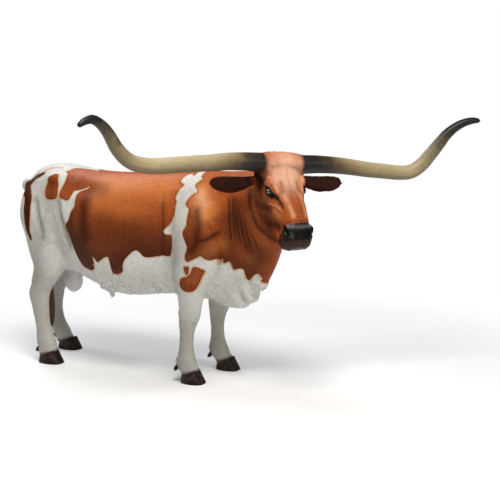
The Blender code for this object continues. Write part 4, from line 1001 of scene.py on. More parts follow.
paint = {
    # dark brown, partly the statue's own and partly painted shade: low on the flank, in the hollows and
    # creases of the body, round the shoulder and down the neck and the throat
    ("umber", "side"): (
        ((-270, 860, -120, 780, 100, 790, 280, 860, 500, 880), 140, 0.88),
        ((-100, 1000, 50, 990, 220, 1000, 400, 1010), 140, 0.6),
        ((-170, 1210, -158, 1080, -135, 960), 55, 0.8), ((-300, 1100, -240, 950, -200, 850), 85, 0.8),
        ((-360, 1330, -180, 1300, -30, 1300), 45, 0.4), ((20, 1100, 180, 1060, 300, 1120), 60, 0.25),
        ((-500, 1330, -490, 1270, -490, 1220), 50, 0.55),
        ((446, 1230, 462, 1119, 466, 1005, 462, 896), 14, 0.6),
        ((700, 1190, 722, 1120, 731, 1048, 727, 970, 699, 922), 24, 0.75),
        ((840, 1130, 845, 1070, 830, 1010), 60, 0.15),
        ((751, 997, 787, 1004, 815, 1022, 837, 1043), 18, 0.85),
        ((905, 1140, 915, 1060, 930, 960), 50, 0.4), ((980, 1260, 1000, 1100, 1050, 950), 75, 0.62),
        ((650, 980, 740, 930, 840, 900), 85, 0.6), ((660, 1150, 700, 1100, 720, 1020), 60, 0.4),
        ((950, 780, 1030, 760, 1080, 800), 70, 0.45), ((930, 870, 1010, 830, 1090, 850), 60, 0.4),
        ((690, 680, 650, 670, 630, 700), 30, 0.45), ((1100, 860, 1140, 920, 1170, 970), 50, 0.55),
        ((900, 850, 1000, 800, 1080, 780), 50, 0.35),
    ),
    # dark brown down the backs of the thighs, darkened further as painted shade; painted shade along the
    # jaw's groove and on the tail where it hangs between the legs
    ("umber", "body"): (
        ((-625, -160, 1388, -748, -188, 1285, -690, -265, 1150, -650, -293, 925), 95, 1),
        ((-625, 160, 1388, -748, 188, 1285, -690, 265, 1150, -650, 293, 925), 95, 1),
        ((1045, -150, 1340, 1052, -156, 1301, 1068, -174, 1192, 1090, -172, 1140, 1115, -165, 1095, 1163,
          -158, 1057, 1221, -128, 1011), 16, 0.8),
        ((-800, 0, 860, -775, 18, 650, -758, 32, 450, -742, 39, 205), 90, 0.8),
    ),
    # on the face: dark brown at the temples and under the eyes, and painted shade in the face's hollows and
    # creases
    ("umber", "face"): (
        ((160, 20, -80, 150, 75, -60, 140, 115, -70), 50, 1),
        ((140, 140, -180, 135, 230, -170, 115, 330, -150), 85, 0.52),
        ((6, 215, 60, 30, 290, 85, 20, 400, 98), 16, 0.28),
        ((135, 115, -110, 132, 185, -100, 126, 235, -80), 40, 0.55),
        ((134, 205, -175, 128, 246, -146, 120, 273, -99, 114, 289, -60), 24, 0.7),
        ((98, 370, -120, 94, 395, -70, 91, 425, -30), 34, 0.95),
        ((110, 330, -140, 100, 380, -160), 50, 0.6),
        ((70, 330, -250, 50, 420, -190, 30, 500, -110), 55, 0.5),
        ((112, 215, 12, 103, 245, 22, 95, 276, 34, 86, 318, 43), 13, 1),
        ((58, 150, 50, 60, 189, 52, 64, 224, 55), 14, 0.5), ((0, 60, 53, 0, 120, 52, 2, 185, 53), 9, 0.2),
        ((0, 230, 60, 0, 330, 90, 0, 420, 98), 45, 0.16), ((110, 150, 12, 95, 200, 30), 9, 0.4),
        ((85, 425, 60, 40, 428, 97, 0, 430, 100), 12, 0.45),
    ),
    # painted highlights in orange: on the shoulder blade, the point of the shoulder, along the back and on
    # the flank
    ("orange", "side"): (
        ((695, 1310, 725, 1250, 760, 1175), 58, 0.95), ((770, 900, 830, 925, 860, 965), 45, 0.55),
        ((-50, 1320, 200, 1330, 450, 1330), 90, 0.55), ((300, 1160, 100, 1190, -50, 1200), 60, 0.3),
        ((-245, 1080, -235, 1020), 30, 0.35), ((1050, 860, 1100, 830), 40, 0.4),
    ),
    # painted highlights in orange on the face: the cheek, the brow's edge, down the nose and beside the jaw
    ("orange", "face"): (
        ((103, 318, -20, 94, 350, 0), 32, 0.7),
        ((125, 88, 12, 116, 130, 25, 104, 172, 34, 94, 205, 38), 12, 0.9),
        ((50, 270, 80, 45, 330, 93, 40, 400, 100), 16, 0.35), ((136, 215, -70, 128, 250, -50), 20, 0.35),
        ((120, 150, -200, 115, 220, -205), 45, 0.25),
    ),
    # painted highlights, pale: on the shoulder, the forehead, the bridge of the nose, the facial crest, the
    # chin and along the jaw
    ("pale", "side"): (
        ((698, 1300, 715, 1262, 735, 1225), 38, 0.42),
    ),
    ("pale", "face"): (
        ((0, 15, 56, 0, 125, 52), 100, 0.8), ((100, 30, 50, 82, 115, 50), 34, 0.45),
        ((60, 235, 62, 58, 300, 85, 50, 390, 98), 16, 0.4),
        ((122, 258, -46, 106, 292, 2, 94, 322, 24), 5.5, 0.55), ((40, 581, -10, 0, 584, -8), 14, 0.55),
    ),
    ("pale", "body"): (
        ((1058, -168, 1200, 1078, -177, 1150, 1102, -172, 1105, 1150, -165, 1062), 5.5, 0.45),
    ),
    ("black", "face"): (
        ((150, -20, -30, 158, 30, -20, 150, 75, -45), 36, 1), ((152, 60, -85, 145, 110, -80), 32, 0.8),
        ((116, 212, 0, 106, 232, 18, 99, 252, 28), 14.5, 1),
        ((104, 238, 20, 96, 268, 33, 88, 298, 41), 9.5, 1), ((122, 160, -10, 128, 185, -22), 14, 0.9),
        ((79, 510, 56, 88, 463, 43, 87, 435, 28), 20, 1),
    ),
    # a painted highlight in grey along the top edge of the black nose and on the rims of the nostrils
    ("grey", "face"): (
        ((82, 447, 60, 60, 455, 82), 11, 0.85), ((60, 457, 82, 30, 462, 92, 0, 465, 94), 12, 0.45),
        ((93.5, 480, 33, 91, 500, 40, 85, 518, 47), 3.5, 0.9), ((80, 500, 70, 70, 525, 66), 10, 0.25),
    ),
    # painted shade on the white: low on the legs, in the creases and hollows of the thighs and the shoulders,
    # under the belly, over the rump and in front of the brisket
    ("dirt", "side"): (
        ((600, 360, 600, 120), 160, 0.85), ((-640, 600, -600, 120), 160, 0.7),
        ((-800, 450, -760, 120), 140, 0.7), ((580, 1300, 600, 1000, 560, 850), 60, 0.35),
        ((-450, 1100, -400, 850), 80, 0.35),
        ((-433, 1225, -405, 1125, -375, 1055, -340, 970, -300, 890), 28, 0.75),
        ((-620, 1210, -598, 1110, -566, 1020, -530, 950), 24, 0.75),
        ((-560, 980, -600, 820, -620, 700), 110, 0.55), ((-520, 1300, -470, 1180), 60, 0.35),
        ((520, 1200, 560, 1000, 560, 860), 40, 0.4), ((530, 800, 560, 700), 40, 0.45),
        ((-300, 700, 200, 660, 600, 680), 90, 0.15), ((-700, 1340, -600, 1310, -560, 1200), 70, 0.35),
        ((900, 660, 1050, 720), 80, 0.3),
    ),
    # painted shade on the white in the brisket's folds
    ("dirt", "half"): (
        ((1022, 0, 598, 1024, 50, 612, 1020, 90, 665, 1018, 115, 735), 16, 0.75),
        ((965, 0, 555, 965, 60, 575, 952, 115, 640, 945, 145, 730), 20, 0.6),
        ((1088, 0, 668, 1086, 35, 678, 1078, 70, 720, 1090, 90, 780), 14, 0.6),
    ),
}


# paint that follows the shape: strengths, and from where to where each of them grows or fades
brush = {
    # painted shade in the neck's folds and under the body, a painted highlight along the top
    "foldWidth": 8.5, "foldShade": 0.85, "foldLeft": 0.4, "undersideShade": 0.26, "toplineHighlight": 0.05,
    # the muzzle's edge along the face, and how it slants down the side
    "muzzle": 0.440, "muzzleSlant": 0.55, "lipAlong": (0.532, 0.550), "lipFront": (0.032, 0.004),
    # the dark round an eye: half lengths before and behind, half heights over and under
    "lids": (0.058, 0.048, 0.0260, 0.0245), "lidEdge": (1.12, 0.80), "lidGloss": 0.6,
    "earBlack": 0.93, "rootBlack": 0.92, "rootFrom": (0.106, 0.148), "rootTall": 0.080,
    "coronetBrown": 0.85, "coronetTall": (0.022, 0.004),
}


# one coat of paint over another
def over(under, coat):
    return 1 - (1 - under) * (1 - coat)


def paintLayers(points, normals, masks):
    x, y, z = points.T
    mirrored = folded(masks["face"], 0)
    spaces = {"side": sideView(points), "body": points, "half": folded(points, 1), "face": mirrored}
    flank = ease(0.02, 0.12, np.abs(y)) * (1 - np.maximum(masks["head"], masks["ear"]))
    share = {"side": flank, "body": 1.0, "half": 1.0, "face": ease(0.0, 0.3, masks["head"])}
    layers = {layer: np.zeros(len(points)) for layer, space in paint}
    for (layer, space), strokes in paint.items():
        for line, width, strength in strokes:
            bell = strength * stroke(spaces[space], line, width, fade=0) * share[space]
            layers[layer] = over(layers[layer], np.clip(bell, 0, 1))

    # painted shade in the neck's folds and on the faces that turn downwards, a painted highlight on the faces
    # that turn upwards
    for line in relief["neck"]:
        bell = brush["foldShade"] * np.clip(stroke(spaces["side"], line, brush["foldWidth"]), 0, 1)
        layers["umber"] = over(layers["umber"], bell * flank * np.where(y > 0, brush["foldLeft"], 1.0))
    shade = brush["undersideShade"] * ease(0.35, -0.45, normals[:, 2]) * (1 - masks["ear"])
    layers["umber"] = over(layers["umber"], shade)
    layers["orange"] = over(layers["orange"], brush["toplineHighlight"] * ease(0.35, 0.95, normals[:, 2]))

    # the muzzle, from the nose's top edge round to the mouth's corner
    left, along, front = mirrored.T
    border = brush["muzzle"] + brush["muzzleSlant"] * np.clip(0.020 - front, 0, 0.2)
    softness = 0.004 + 0.02 * ease(0.04, 0.0, front)
    muzzle = ease(-0.004, softness, along - border) * masks["head"]
    lipSide = np.maximum(ease(*brush["lipAlong"], along), ease(*brush["lipFront"], front))
    layers["lip"] = muzzle * lipSide
    # round the eyes, drawn out to both corners
    lids = np.zeros(len(points))
    before, behind, above, below = brush["lids"]
    for side in (-1, 1):
        a, b, out = inEyeFrame(points, side).T
        tilt = b + 0.10 * a
        size = np.hypot(a / np.where(a > 0, before, behind), tilt / np.where(tilt > 0, above, below))
        lids = np.maximum(lids, ease(*brush["lidEdge"], size) * (out > -0.04))
    ears = ease(0.30, 0.75, masks["ear"])
    # the horn roots' black is sprayed over onto the skin round them
    outwards, up = np.abs(masks["side"][:, 0]), masks["side"][:, 2]
    roots = ease(*brush["rootFrom"], outwards) * np.exp(-(up / brush["rootTall"]) ** 4) * masks["head"]
    for coat in (muzzle, lids, brush["earBlack"] * ears, brush["rootBlack"] * roots):
        layers["black"] = over(layers["black"], coat)
    forward = headPoints(0.0, 1.0, 0.0) - headPoints(0.0, 0.0, 0.0)
    layers["inner"] = masks["ear"] * ease(0.2, 0.8, normals @ forward)
    # a rust-brown line where hair meets hoof
    for kind, inPart in (("fore", x > -0.1), ("hind", x <= -0.1)):
        for side in (-1, 1):
            above = z - coronetHeight(kind, side, x)
            ring = inPart * (side * y > 0) * (z < 0.3) * ease(*brush["coronetTall"], above)
            layers["lip"] = np.maximum(layers["lip"], brush["coronetBrown"] * ring)
    layers["gloss"] = np.clip(muzzle * (1 - 0.5 * lipSide) + brush["lidGloss"] * lids, 0, 1)
    return layers


hairLie = {
    "body": (-1.0, 0.0, -0.42), "neck": (-0.55, 0.0, -1.0), "down": (0.0, 0.0, -1.0),
    # in the face's frame: beside the forehead, and down the nose
    "cheek": (0.0, 0.75, -0.65), "nose": (0.35, 1.0, 0.0), "whorl": (0.0, 0.095), "swirl": 48,
}


# The lie of the hair, a direction for each point, and from it the direction across the hair
def acrossTheHair(points, normals, masks):
    x, y, z = points.T
    face = masks["face"]
    lie = np.tile(hairLie["body"], (len(points), 1))

    def turned(lie, towards, share):
        return lie + (towards - lie) * share[:, None]

    down = np.array(hairLie["down"])
    lie = turned(lie, down, ease(0.86, 0.62, z) * ease(0.06, 0.12, np.abs(y)))
    lie = turned(lie, np.array(hairLie["neck"]), ease(0.75, 1.00, x) * (1 - masks["head"]))
    lie = turned(lie, down, masks["tail"])
    # on the forehead the hair swirls out from a whorl, lower down it runs to the muzzle and the jaw
    away = face[:, :2] - hairLie["whorl"]
    away /= np.linalg.norm(away, axis=1)[:, None] + 0.01
    turn = math.radians(hairLie["swirl"])
    forehead = np.column_stack([away[:, 0] * math.cos(turn) - away[:, 1] * math.sin(turn),
                                away[:, 0] * math.sin(turn) + away[:, 1] * math.cos(turn), 0 * x])
    nose = np.tile(hairLie["nose"], (len(points), 1))
    nose[:, 0] *= np.sign(face[:, 0])
    front = turned(forehead, nose, ease(0.17, 0.26, face[:, 1]))
    local = turned(np.array(hairLie["cheek"]), front, ease(-0.05, 0.03, face[:, 2]))
    axes = facePoints(*np.eye(3)) - facePoints(0.0, 0.0, 0.0)
    lie = turned(lie, local @ axes, masks["head"])
    outwards = headPoints(1.0, 0.0, 0.0) - headPoints(0.0, 0.0, 0.0)
    lie = turned(lie, outwards * np.sign(masks["side"][:, :1]), masks["ear"])
    across = np.cross(normals, lie)
    return across / (np.linalg.norm(across, axis=1)[:, None] + 1e-6)


# fewer triangles, kept where the head, the lids and the paint's edges need them
def thinSkin(made):
    points, normals = arraysOf(made.data)
    masks = regionMasks(points)
    keep = skin["keepBody"] + skin["keepHead"] * masks["head"] + skin["keepEar"] * masks["ear"]
    keep += skin["keepLow"] * ease(0.55, 0.3, points[:, 2])
    keep += skin["keepEdge"] * (np.abs(brownDepth(points, masks)) < 0.02)
    rankGroup(made, "thin", 10 - np.round(np.clip(keep, 0, 1) * 10).astype(int), 10)
    step = made.modifiers.new("fewer faces", "DECIMATE")
    step.ratio = skin["keep"]
    step.vertex_group = "thin"
    step.vertex_group_factor = 1.0
    done = evaluatedCopy(made)
    done.vertex_groups.clear()
    return done


def trianglesOf(mesh):
    mesh.calc_loop_triangles()
    faces = np.empty(len(mesh.loop_triangles) * 3, np.int32)
    mesh.loop_triangles.foreach_get("vertices", faces)
    return faces.reshape(-1, 3)


def buildSkin():
    made = castSkin()
    points, normals = arraysOf(made.data)
    points = modelSkin(points, normals)
    lids = [lidShell(side, points) for side in (-1, 1)]
    points = endAtCoronets(sinkSockets(points))
    made.data.vertices.foreach_set("co", points.astype(np.float32).ravel())
    made.data.update()
    print("skin modelled")
    made = thinSkin(made)
    print("skin thinned to", len(made.data.polygons), "faces")
    points, faces = joined([(arraysOf(made.data)[0], trianglesOf(made.data))] + lids)
    bpy.data.objects.remove(made)
    made = meshObject("skin", points, faces)
    points, normals = arraysOf(made.data)
    masks = regionMasks(points)
    setAttribute(made, "brown", brownDepth(points, masks))
    setAttribute(made, "across", acrossTheHair(points, normals, masks))
    for name, values in paintLayers(points, normals, masks).items():
        setAttribute(made, name, values)
    print("skin painted")
    return home(made)


# Small pieces

# a horn: rings along its path, with growth rings at the root and grooves along the bend
def buildHorn(side):
    path, radius, out = hornPath(side, 12)
    reach = np.concatenate([[0], np.cumsum(np.linalg.norm(np.diff(path, axis=0), axis=1))])
    rows = int(reach[-1] / horn["step"])
    at = np.linspace(0, reach[-1], rows)
    path = np.column_stack([np.interp(at, reach, path[:, i]) for i in range(3)])
    radius = np.interp(at, reach, radius)
    out = np.interp(at, reach, out)
    # the root goes on inwards, under the skin
    rootRows = np.arange(-horn["rootIn"], 0.0, horn["step"])
    start = path[:1] + (path[1:2] - path[:1]) / horn["step"] * rootRows[:, None]
    path = np.vstack([start, path])
    at = np.append(rootRows, at)
    radius = np.append(radius[0] + 0 * rootRows, radius)
    out = np.append(out[0] + rootRows, out)
    turn = around(horn["sides"])[None, :]
    spacing, depth, fadeOut = horn["rings"]
    wave = np.sin(2 * math.pi * at / spacing + 2.1 * np.sin(at * 23) + 1.4 * np.sin(at * 61))
    ringed = depth * wave * np.exp(-((out - 0.17) / fadeOut) ** 2)
    grooveDepth, bend, bendLength = horn["grooves"]
    nearBend = np.exp(-((out - bend) / bendLength) ** 2)[:, None]
    grooved = grooveDepth * np.sin(11 * turn + 2.0 * np.sin(3 * turn)) * nearBend
    fluted = horn["flutes"] * np.sin(17 * turn + 5 * np.sin(turn)) * ease(1.3, 0.5, out)[:, None]
    blunt = np.sqrt(np.clip(1 - ease(0.985, 1.0, np.linspace(0, 1, len(at))) ** 2, 0.0, 1))
    swell = ((radius + ringed)[:, None] + grooved + fluted) * blunt[:, None]
    points, faces = closedTube(tubeRings(path, swell, horn["sides"]))
    made = meshObject("horn_shell_" + ("left" if side > 0 else "right"), points, faces)
    points, normals = arraysOf(made.data)
    gap, share = nearLine(points, path[::12])
    nearOut = np.interp(share, np.linspace(0, 1, len(out[::12])), out[::12])
    atRoot = horn["shorterRoot"] * ease(0.9, 0.5, nearOut)
    atTip = horn["shorterTip"] * ease(0.9, 1.05, nearOut)
    setAttribute(made, "out", nearOut + (atRoot - atTip if side < 0 else 0.0))
    setAttribute(made, "under", np.clip(-normals[:, 2], -1, 1))
    return home(made)


# an eye: a ball whose clear front bulges, with the place on its face kept for the iris
def buildEye(side):
    polar = np.concatenate([np.linspace(0.01, 1.2, 40), np.linspace(1.2, math.pi - 0.02, 20)[1:]])[:, None]
    turn = around(64)[None, :]
    radius = eye["radius"] * (1 + 0.055 * np.exp(-(polar / 0.62) ** 4))
    local = np.stack([radius * np.sin(polar) * np.cos(turn), radius * np.sin(polar) * np.sin(turn),
                      radius * np.cos(polar) + 0 * turn], axis=-1)
    middle, axes = eyeFrame(side)
    points, faces = closedTube(local @ axes + middle)
    made = meshObject("eyeball_" + ("left" if side > 0 else "right"), points, faces)
    a, b, out = inEyeFrame(points, side).T
    setAttribute(made, "irisLong", a / eye["radius"])
    setAttribute(made, "irisTall", b / eye["radius"])
    setAttribute(made, "irisOut", out / eye["radius"])
    return home(made)


# One claw: rings of its half oval outline from the sole up to the coronet. The walls slope back from
# the toe and carry growth ridges that run level with the coronet.
def buildClaw(name, kind, side, half):
    hoof = hoofs[kind]
    sole = soleX(kind, side)
    outer = np.linspace(-math.pi / 2, math.pi / 2, 49)
    inner = np.linspace(1, -1, 25)[1:-1]
    rise = np.concatenate([np.linspace(0, 0.006, 5), np.linspace(0.006, 0.13, 42)[1:]])[:, None]
    share = rise / rise[-1]
    size = np.interp(rise, *np.array(hoofs["profile"]).T)
    ahead = np.concatenate([np.sin(outer), inner])[None, :]
    bulge = np.concatenate([np.cos(outer) ** hoofs["bluntness"], 0 * inner])[None, :]
    bulge[:, [0, 48]] = 0
    length, width = hoof["length"], hoof["width"]
    slant = hoofs["toeSlope"] * (1 + ahead) / 2
    foot = sole - length / 2 + length * (1 + ahead) / 2
    top = coronetHeight(kind, side, foot) / (1 + coronetSlope(kind) * slant) + hoofs["under"]
    z = np.where(share < 0.046, rise + 0 * top, 0.006 + (top - 0.006) * (share - 0.046) / 0.954)
    spacing, depth = hoofs["growth"]
    growth = depth * np.sin(2 * math.pi * (top - z) / spacing + 0.7 * np.sin(5 * ahead))
    growth *= ease(0.0, 0.10, share) * np.clip(bulge, 0, 1)
    reach = length / 2 * size + growth
    x = sole - reach + (2 * reach - slant * z) * (1 + ahead) / 2
    y = hoofs["cleft"] / 2 + ((width - hoofs["cleft"]) / 2 * size + growth) * bulge
    points, faces = closedTube(np.stack([x, side * hoof["sole"][1] + half * y, z], axis=-1))
    made = meshObject(name, points, faces)
    made.data.set_sharp_from_angle(angle=math.radians(hoofs["sharp"]))
    return home(made)


dewclaw = {"height": 0.098, "spread": 0.030, "radius": 0.016, "length": 0.046, "root": (0.020, 0.0, 0.018),
           "aim": (-0.72, 0.0, -0.70)}


# a blunt cone, ringed like the hoofs, pointing down and back
def buildDewclaw(name, kind, side, half):
    nearest = min(legs[kind], key=lambda row: abs(row[2] - dewclaw["height"]))
    back = nearest[0] - nearest[3] + float(shiftAt(kind, side, dewclaw["height"]))
    across = side * hoofs[kind]["sole"][1] + half * dewclaw["spread"]
    aim = np.array(dewclaw["aim"]) / np.linalg.norm(dewclaw["aim"])
    start = np.array([back, across, dewclaw["height"]]) + dewclaw["root"]
    t = np.linspace(0, 1, 26)
    size = np.interp(t, (0, 0.35, 0.75, 0.93, 1.0), (0.85, 1.0, 0.86, 0.66, 0.40)) + 0.03 * np.sin(t * 40)
    path = start + aim * (t * dewclaw["length"])[:, None] + np.array([0, 0, -0.003]) * (t ** 2)[:, None]
    return home(meshObject(name, *closedTube(tubeRings(path, dewclaw["radius"] * size, 28))))


# The tail's switch: locks that start on its core, one round after another, and hang down past each other.
# A lock is a flat tapering tube with a ridge along it; its map is a small patch where it grows.
switch = {"locks": 84, "rows": 15, "sides": 8, "seed": 5,
          "top": 0.640, "low": 0.205, "width": 0.0105, "flat": 0.48}


def buildSwitch():
    rng = np.random.default_rng(switch["seed"])
    count = switch["locks"]
    core = finer(tail["sections"], 8)
    core = core[np.argsort(core[:, 2])]
    share = (np.arange(count) + rng.uniform(-0.3, 0.3, count)) / count
    root = switch["top"] - 0.26 * np.clip(share, 0, 1)
    turn = np.arange(count) * 2.39996 + rng.uniform(-0.3, 0.3, count)
    length = np.minimum(rng.uniform(0.16, 0.24, count), root - switch["low"] - 0.004)
    t = np.linspace(0, 1, switch["rows"])[None, :]
    z = root[:, None] - length[:, None] * t
    coreX, coreY, coreR = (np.interp(z, core[:, 2], core[:, i]) for i in (0, 1, 3))
    wave = 0.10 * np.sin(t * 6 + turn[:, None] * 3) * t
    lift = np.interp(t, (0, 0.15, 0.6, 1.0), (-0.10, 0.02, 0.05, -0.02)) + 0 * wave
    radius = coreR * (0.86 + lift)
    angle = turn[:, None] + wave * 1.6
    middle = np.stack([coreX + radius * np.cos(angle), coreY + radius * np.sin(angle), z], axis=-1)
    outwards = np.stack([np.cos(angle), np.sin(angle), 0 * angle], axis=-1)
    sideways = np.stack([-np.sin(angle), np.cos(angle), 0 * angle], axis=-1)
    wide = (switch["width"] * rng.uniform(0.8, 1.15, count))[:, None]
    wide = wide * np.interp(t, (0, 0.2, 0.6, 0.9, 1.0), (0.55, 1.0, 0.8, 0.35, 0.06))
    a = around(switch["sides"])[:, None]
    ring = np.cos(a) * sideways[:, :, None] + switch["flat"] * np.sin(a) * outwards[:, :, None]
    shells = [closedTube(rings) for rings in middle[:, :, None] + wide[..., None, None] * ring]
    made = meshObject("switch_locks", *joined(shells))
    roots = np.column_stack([(turn / (2 * math.pi)) % 1.0 * 0.9 + 0.05, 0.05 + 0.9 * share])
    patchMap(made, roots, switch["rows"], switch["sides"])
    tip = np.repeat(np.linspace(0, 1, switch["rows"]), switch["sides"])
    setAttribute(made, "tip", np.tile(np.append(tip, [0, 1]), count))
    return home(made)


# Moulded locks that stand a little off the skin, most where the coat breaks the outline. A lock runs along
# the lie of the hair: point = root + lie x length x t + normal x lift x a bow, thinning to its tip.
locks = {
    "count": 6300, "rows": 5, "sides": 3, "seed": 11, "width": 0.0052, "usual": 0.018, "flat": 0.26,
    # from root to tip: how high each row lies, how wide it is; and how far the tip stands off where it does
    "bow": (-0.0016, -0.0003, 0.0003, 0.0003, -0.0006), "taper": (0.35, 0.9, 1.0, 0.62, 0.08),
    "stand": 0.0016,
    # how thickly they grow on the flank, and how much more in each zone
    "growth": 0.45, "more": {"under": 2.0, "behind": 1.6, "fetlock": 5, "coronet": 6, "poll": 5, "brow": 3,
                             "rim": 6, "tail": 4},
    # how long they are on the flank, and how much longer in each zone
    "length": 0.019, "longer": {"under": 0.008, "behind": 0.004, "fetlock": 0.004, "coronet": -0.006,
                                "head": -0.006, "tail": 0.012, "rim": -0.003},
}


# every attribute of a mesh that setAttribute gave it
def readAttributes(mesh):
    read = {}
    for attribute in mesh.attributes:
        if attribute.data_type in ("FLOAT", "FLOAT_VECTOR") and attribute.name != "position":
            wide, field = (1, "value") if attribute.data_type == "FLOAT" else (3, "vector")
            values = np.empty(len(mesh.vertices) * wide, np.float32)
            attribute.data.foreach_get(field, values)
            read[attribute.name] = values if wide == 1 else values.reshape(-1, 3)
    return read


# how much each point is in each of the zones that the locks know
def lockZones(points, normals, masks):
    x, y, z = points.T
    along, front = masks["face"][:, 1], masks["face"][:, 2]
    return {
        "under": ease(-0.15, -0.7, normals[:, 2]) * ease(0.9, 0.7, z) * (z > 0.35),
        "behind": ease(-0.1, -0.6, normals[:, 0]) * ease(0.9, 0.6, z),
        "fetlock": ease(0.24, 0.18, z) * ease(0.10, 0.13, z)
        * ease(0.1, -0.4, normals[:, 0]),
        "coronet": ease(0.135, 0.115, z),
        "head": masks["head"],
        "poll": masks["head"] * ease(0.10, 0.0, along),
        "crown": masks["head"] * ease(0.03, -0.02, along),
        "brow": masks["head"] * ease(0.24, 0.14, along) * (front > 0),
        "rim": masks["ear"],
        "tail": masks["tail"] * ease(0.5, 0.42, masks["tailShare"]),
    }


def buildLocks(source):
    points, normals = arraysOf(source.data)
    points = points - homeMove
    masks = regionMasks(points)
    read = readAttributes(source.data)
    faces = trianglesOf(source.data)
    a, b, c = (points[faces[:, i]] for i in range(3))
    area = np.zeros(len(points))
    for i in range(3):
        np.add.at(area, faces[:, i], np.linalg.norm(np.cross(b - a, c - a), axis=1) / 6)

    zones = lockZones(points, normals, masks)
    weight = locks["growth"] + sum(more * zones[zone] for zone, more in locks["more"].items())
    length = locks["length"] + sum(longer * zones[zone] for zone, longer in locks["longer"].items())
    # none on the muzzle, the lids, the horn roots, the hoofs' edges and the switch
    left, along, front = masks["face"].T
    roots = (np.abs(left) > 0.115) & (masks["head"] > 0.5) & (along < 0.05)
    onSwitch = (masks["tailShare"] > 0.5) & (masks["tail"] > 0.3)
    weight[(read["gloss"] > 0.04) | roots | (points[:, 2] < 0.105) | onSwitch] = 0

    rng = np.random.default_rng(locks["seed"])
    chance = area * weight
    pick = rng.choice(len(points), locks["count"], replace=False, p=chance / chance.sum())
    lie = np.cross(read["across"][pick], normals[pick])
    lie += rng.normal(0, 0.12, lie.shape)
    lie /= np.linalg.norm(lie, axis=1)[:, None]
    reach = (length[pick] * rng.uniform(0.75, 1.25, len(pick)))[:, None]
    t = np.linspace(0, 1, locks["rows"])[None, :]
    # they stand off most along the poll, the ears' edges, the tail and the underside
    standing = sum(zones[zone] for zone in ("crown", "rim", "tail", "under", "behind"))
    stand = locks["stand"] * np.clip(standing, 0, 1)[pick][:, None] * t
    bow = np.array(locks["bow"]) * rng.uniform(0.7, 1.2, (len(pick), 1)) * (reach / locks["usual"]) + stand
    middle = points[pick][:, None] + lie[:, None] * (reach * t)[..., None]
    middle = middle + normals[pick][:, None] * bow[..., None]
    wide = locks["width"] / 2 * rng.uniform(0.7, 1.25, (len(pick), 1)) * (reach / locks["usual"])
    wide = wide * locks["taper"]
    angle = around(locks["sides"])[:, None]
    ring = np.cos(angle) * read["across"][pick][:, None, None]
    ring = ring + locks["flat"] * np.sin(angle) * normals[pick][:, None, None]
    rings = middle[:, :, None] + wide[..., None, None] * ring

    # all the locks as one mesh: every lock has the same few faces
    pattern = closedTube(rings[0])[1]
    ends = np.stack([rings[:, 0].mean(axis=1), rings[:, -1].mean(axis=1)], axis=1)
    verts = np.concatenate([rings.reshape(len(pick), -1, 3), ends], axis=1)
    perLock = verts.shape[1]
    allFaces = pattern[None] + (np.arange(len(pick)) * perLock)[:, None, None]
    made = meshObject("coat_locks", verts.reshape(-1, 3), allFaces.reshape(-1, 3))
    for name, values in read.items():
        setAttribute(made, name, np.repeat(values[pick], perLock, axis=0))
    # its map: where each root lies on the skin unrolled along the back
    plane = markingPlane(points[pick])
    roots = np.column_stack([(plane[:, 0] + 1.0) / 2.8, plane[:, 1] / 3.3])
    patchMap(made, roots, locks["rows"], locks["sides"])
    return home(made)


# the map of a piece made of tubes: each of them is a small patch at its root's place
def patchMap(made, roots, rows, sides, size=0.003):
    across, along = np.tile(np.arange(sides) / sides, rows), np.repeat(np.linspace(0, 1, rows), sides)
    patch = np.column_stack([across, along])
    patch = np.vstack([patch, [[0.5, 0.0], [0.5, 1.0]]]) * size
    uv = (roots[:, None] + patch[None]).reshape(-1, 2)
    loops = np.empty(len(made.data.loops), np.int32)
    made.data.loops.foreach_get("vertex_index", loops)
    layer = made.data.uv_layers.new(name="OFBake")
    layer.data.foreach_set("uv", uv[loops].astype(np.float32).ravel())


# Materials

def toLinear(hexColour):
    value = np.array([int(hexColour[i:i + 2], 16) for i in (1, 3, 5)]) / 255
    value = np.where(value <= 0.04045, value / 12.92, ((value + 0.055) / 1.055) ** 2.4)
    return (*value, 1.0)


# a node's inputs: another node's output is linked, anything else is a value
def feed(node, inputs):
    for key, value in inputs.items():
        if isinstance(value, bpy.types.NodeSocket):
            node.id_data.links.new(value, node.inputs[key])
        else:
            node.inputs[key].default_value = value


# settings that many nodes share
soft = {"interpolation_type": "SMOOTHSTEP"}
blend = {"output": 2, "data_type": "RGBA"}


# adds a node with its settings and inputs, and gives one of its outputs to go on with
def wire(tree, kind, inputs, output=0, **settings):
    made = tree.nodes.new("ShaderNode" + kind)
    for name, value in settings.items():
        setattr(made, name, value)
    feed(made, inputs)
    return made.outputs[output]


# a material, the function that adds a node to it, and its shader
def newMaterial(name):
    made = bpy.data.materials.new(name)
    made.use_nodes = True
    return made, functools.partial(wire, made.node_tree), made.node_tree.nodes["Principled BSDF"]


coatPaint = {
    # some of these are colours of painted light: the two greys of the white and the darkest brown for painted
    # shade, the orange, the pale pink and the light grey for painted highlights
    "white": "#d6d5ce", "whiteDeep": "#85837b", "dirt": "#6f6a5c",
    "brown": "#9e451b", "brownDark": "#6c2a0f", "brownLight": "#b9622c", "orange": "#dc8844",
    "umber": "#240802", "rim": "#64220b", "fringe": "#bf8a50", "pale": "#ecc3a6",
    "black": "#0d0a09", "grey": "#9c9491", "lip": "#3a261d", "innerEar": "#4a2218",
    # moulded locks and single hairs: patches in a metre, waves in each patch, how strictly they are combed
    "lock": (24.0, 3.4, 0.92), "hair": (62.0, 3.6, 0.95),
    "lockBump": 0.0018, "hairBump": 0.0006, "pebbleScale": 330.0, "pebbleBump": 0.0008,
}


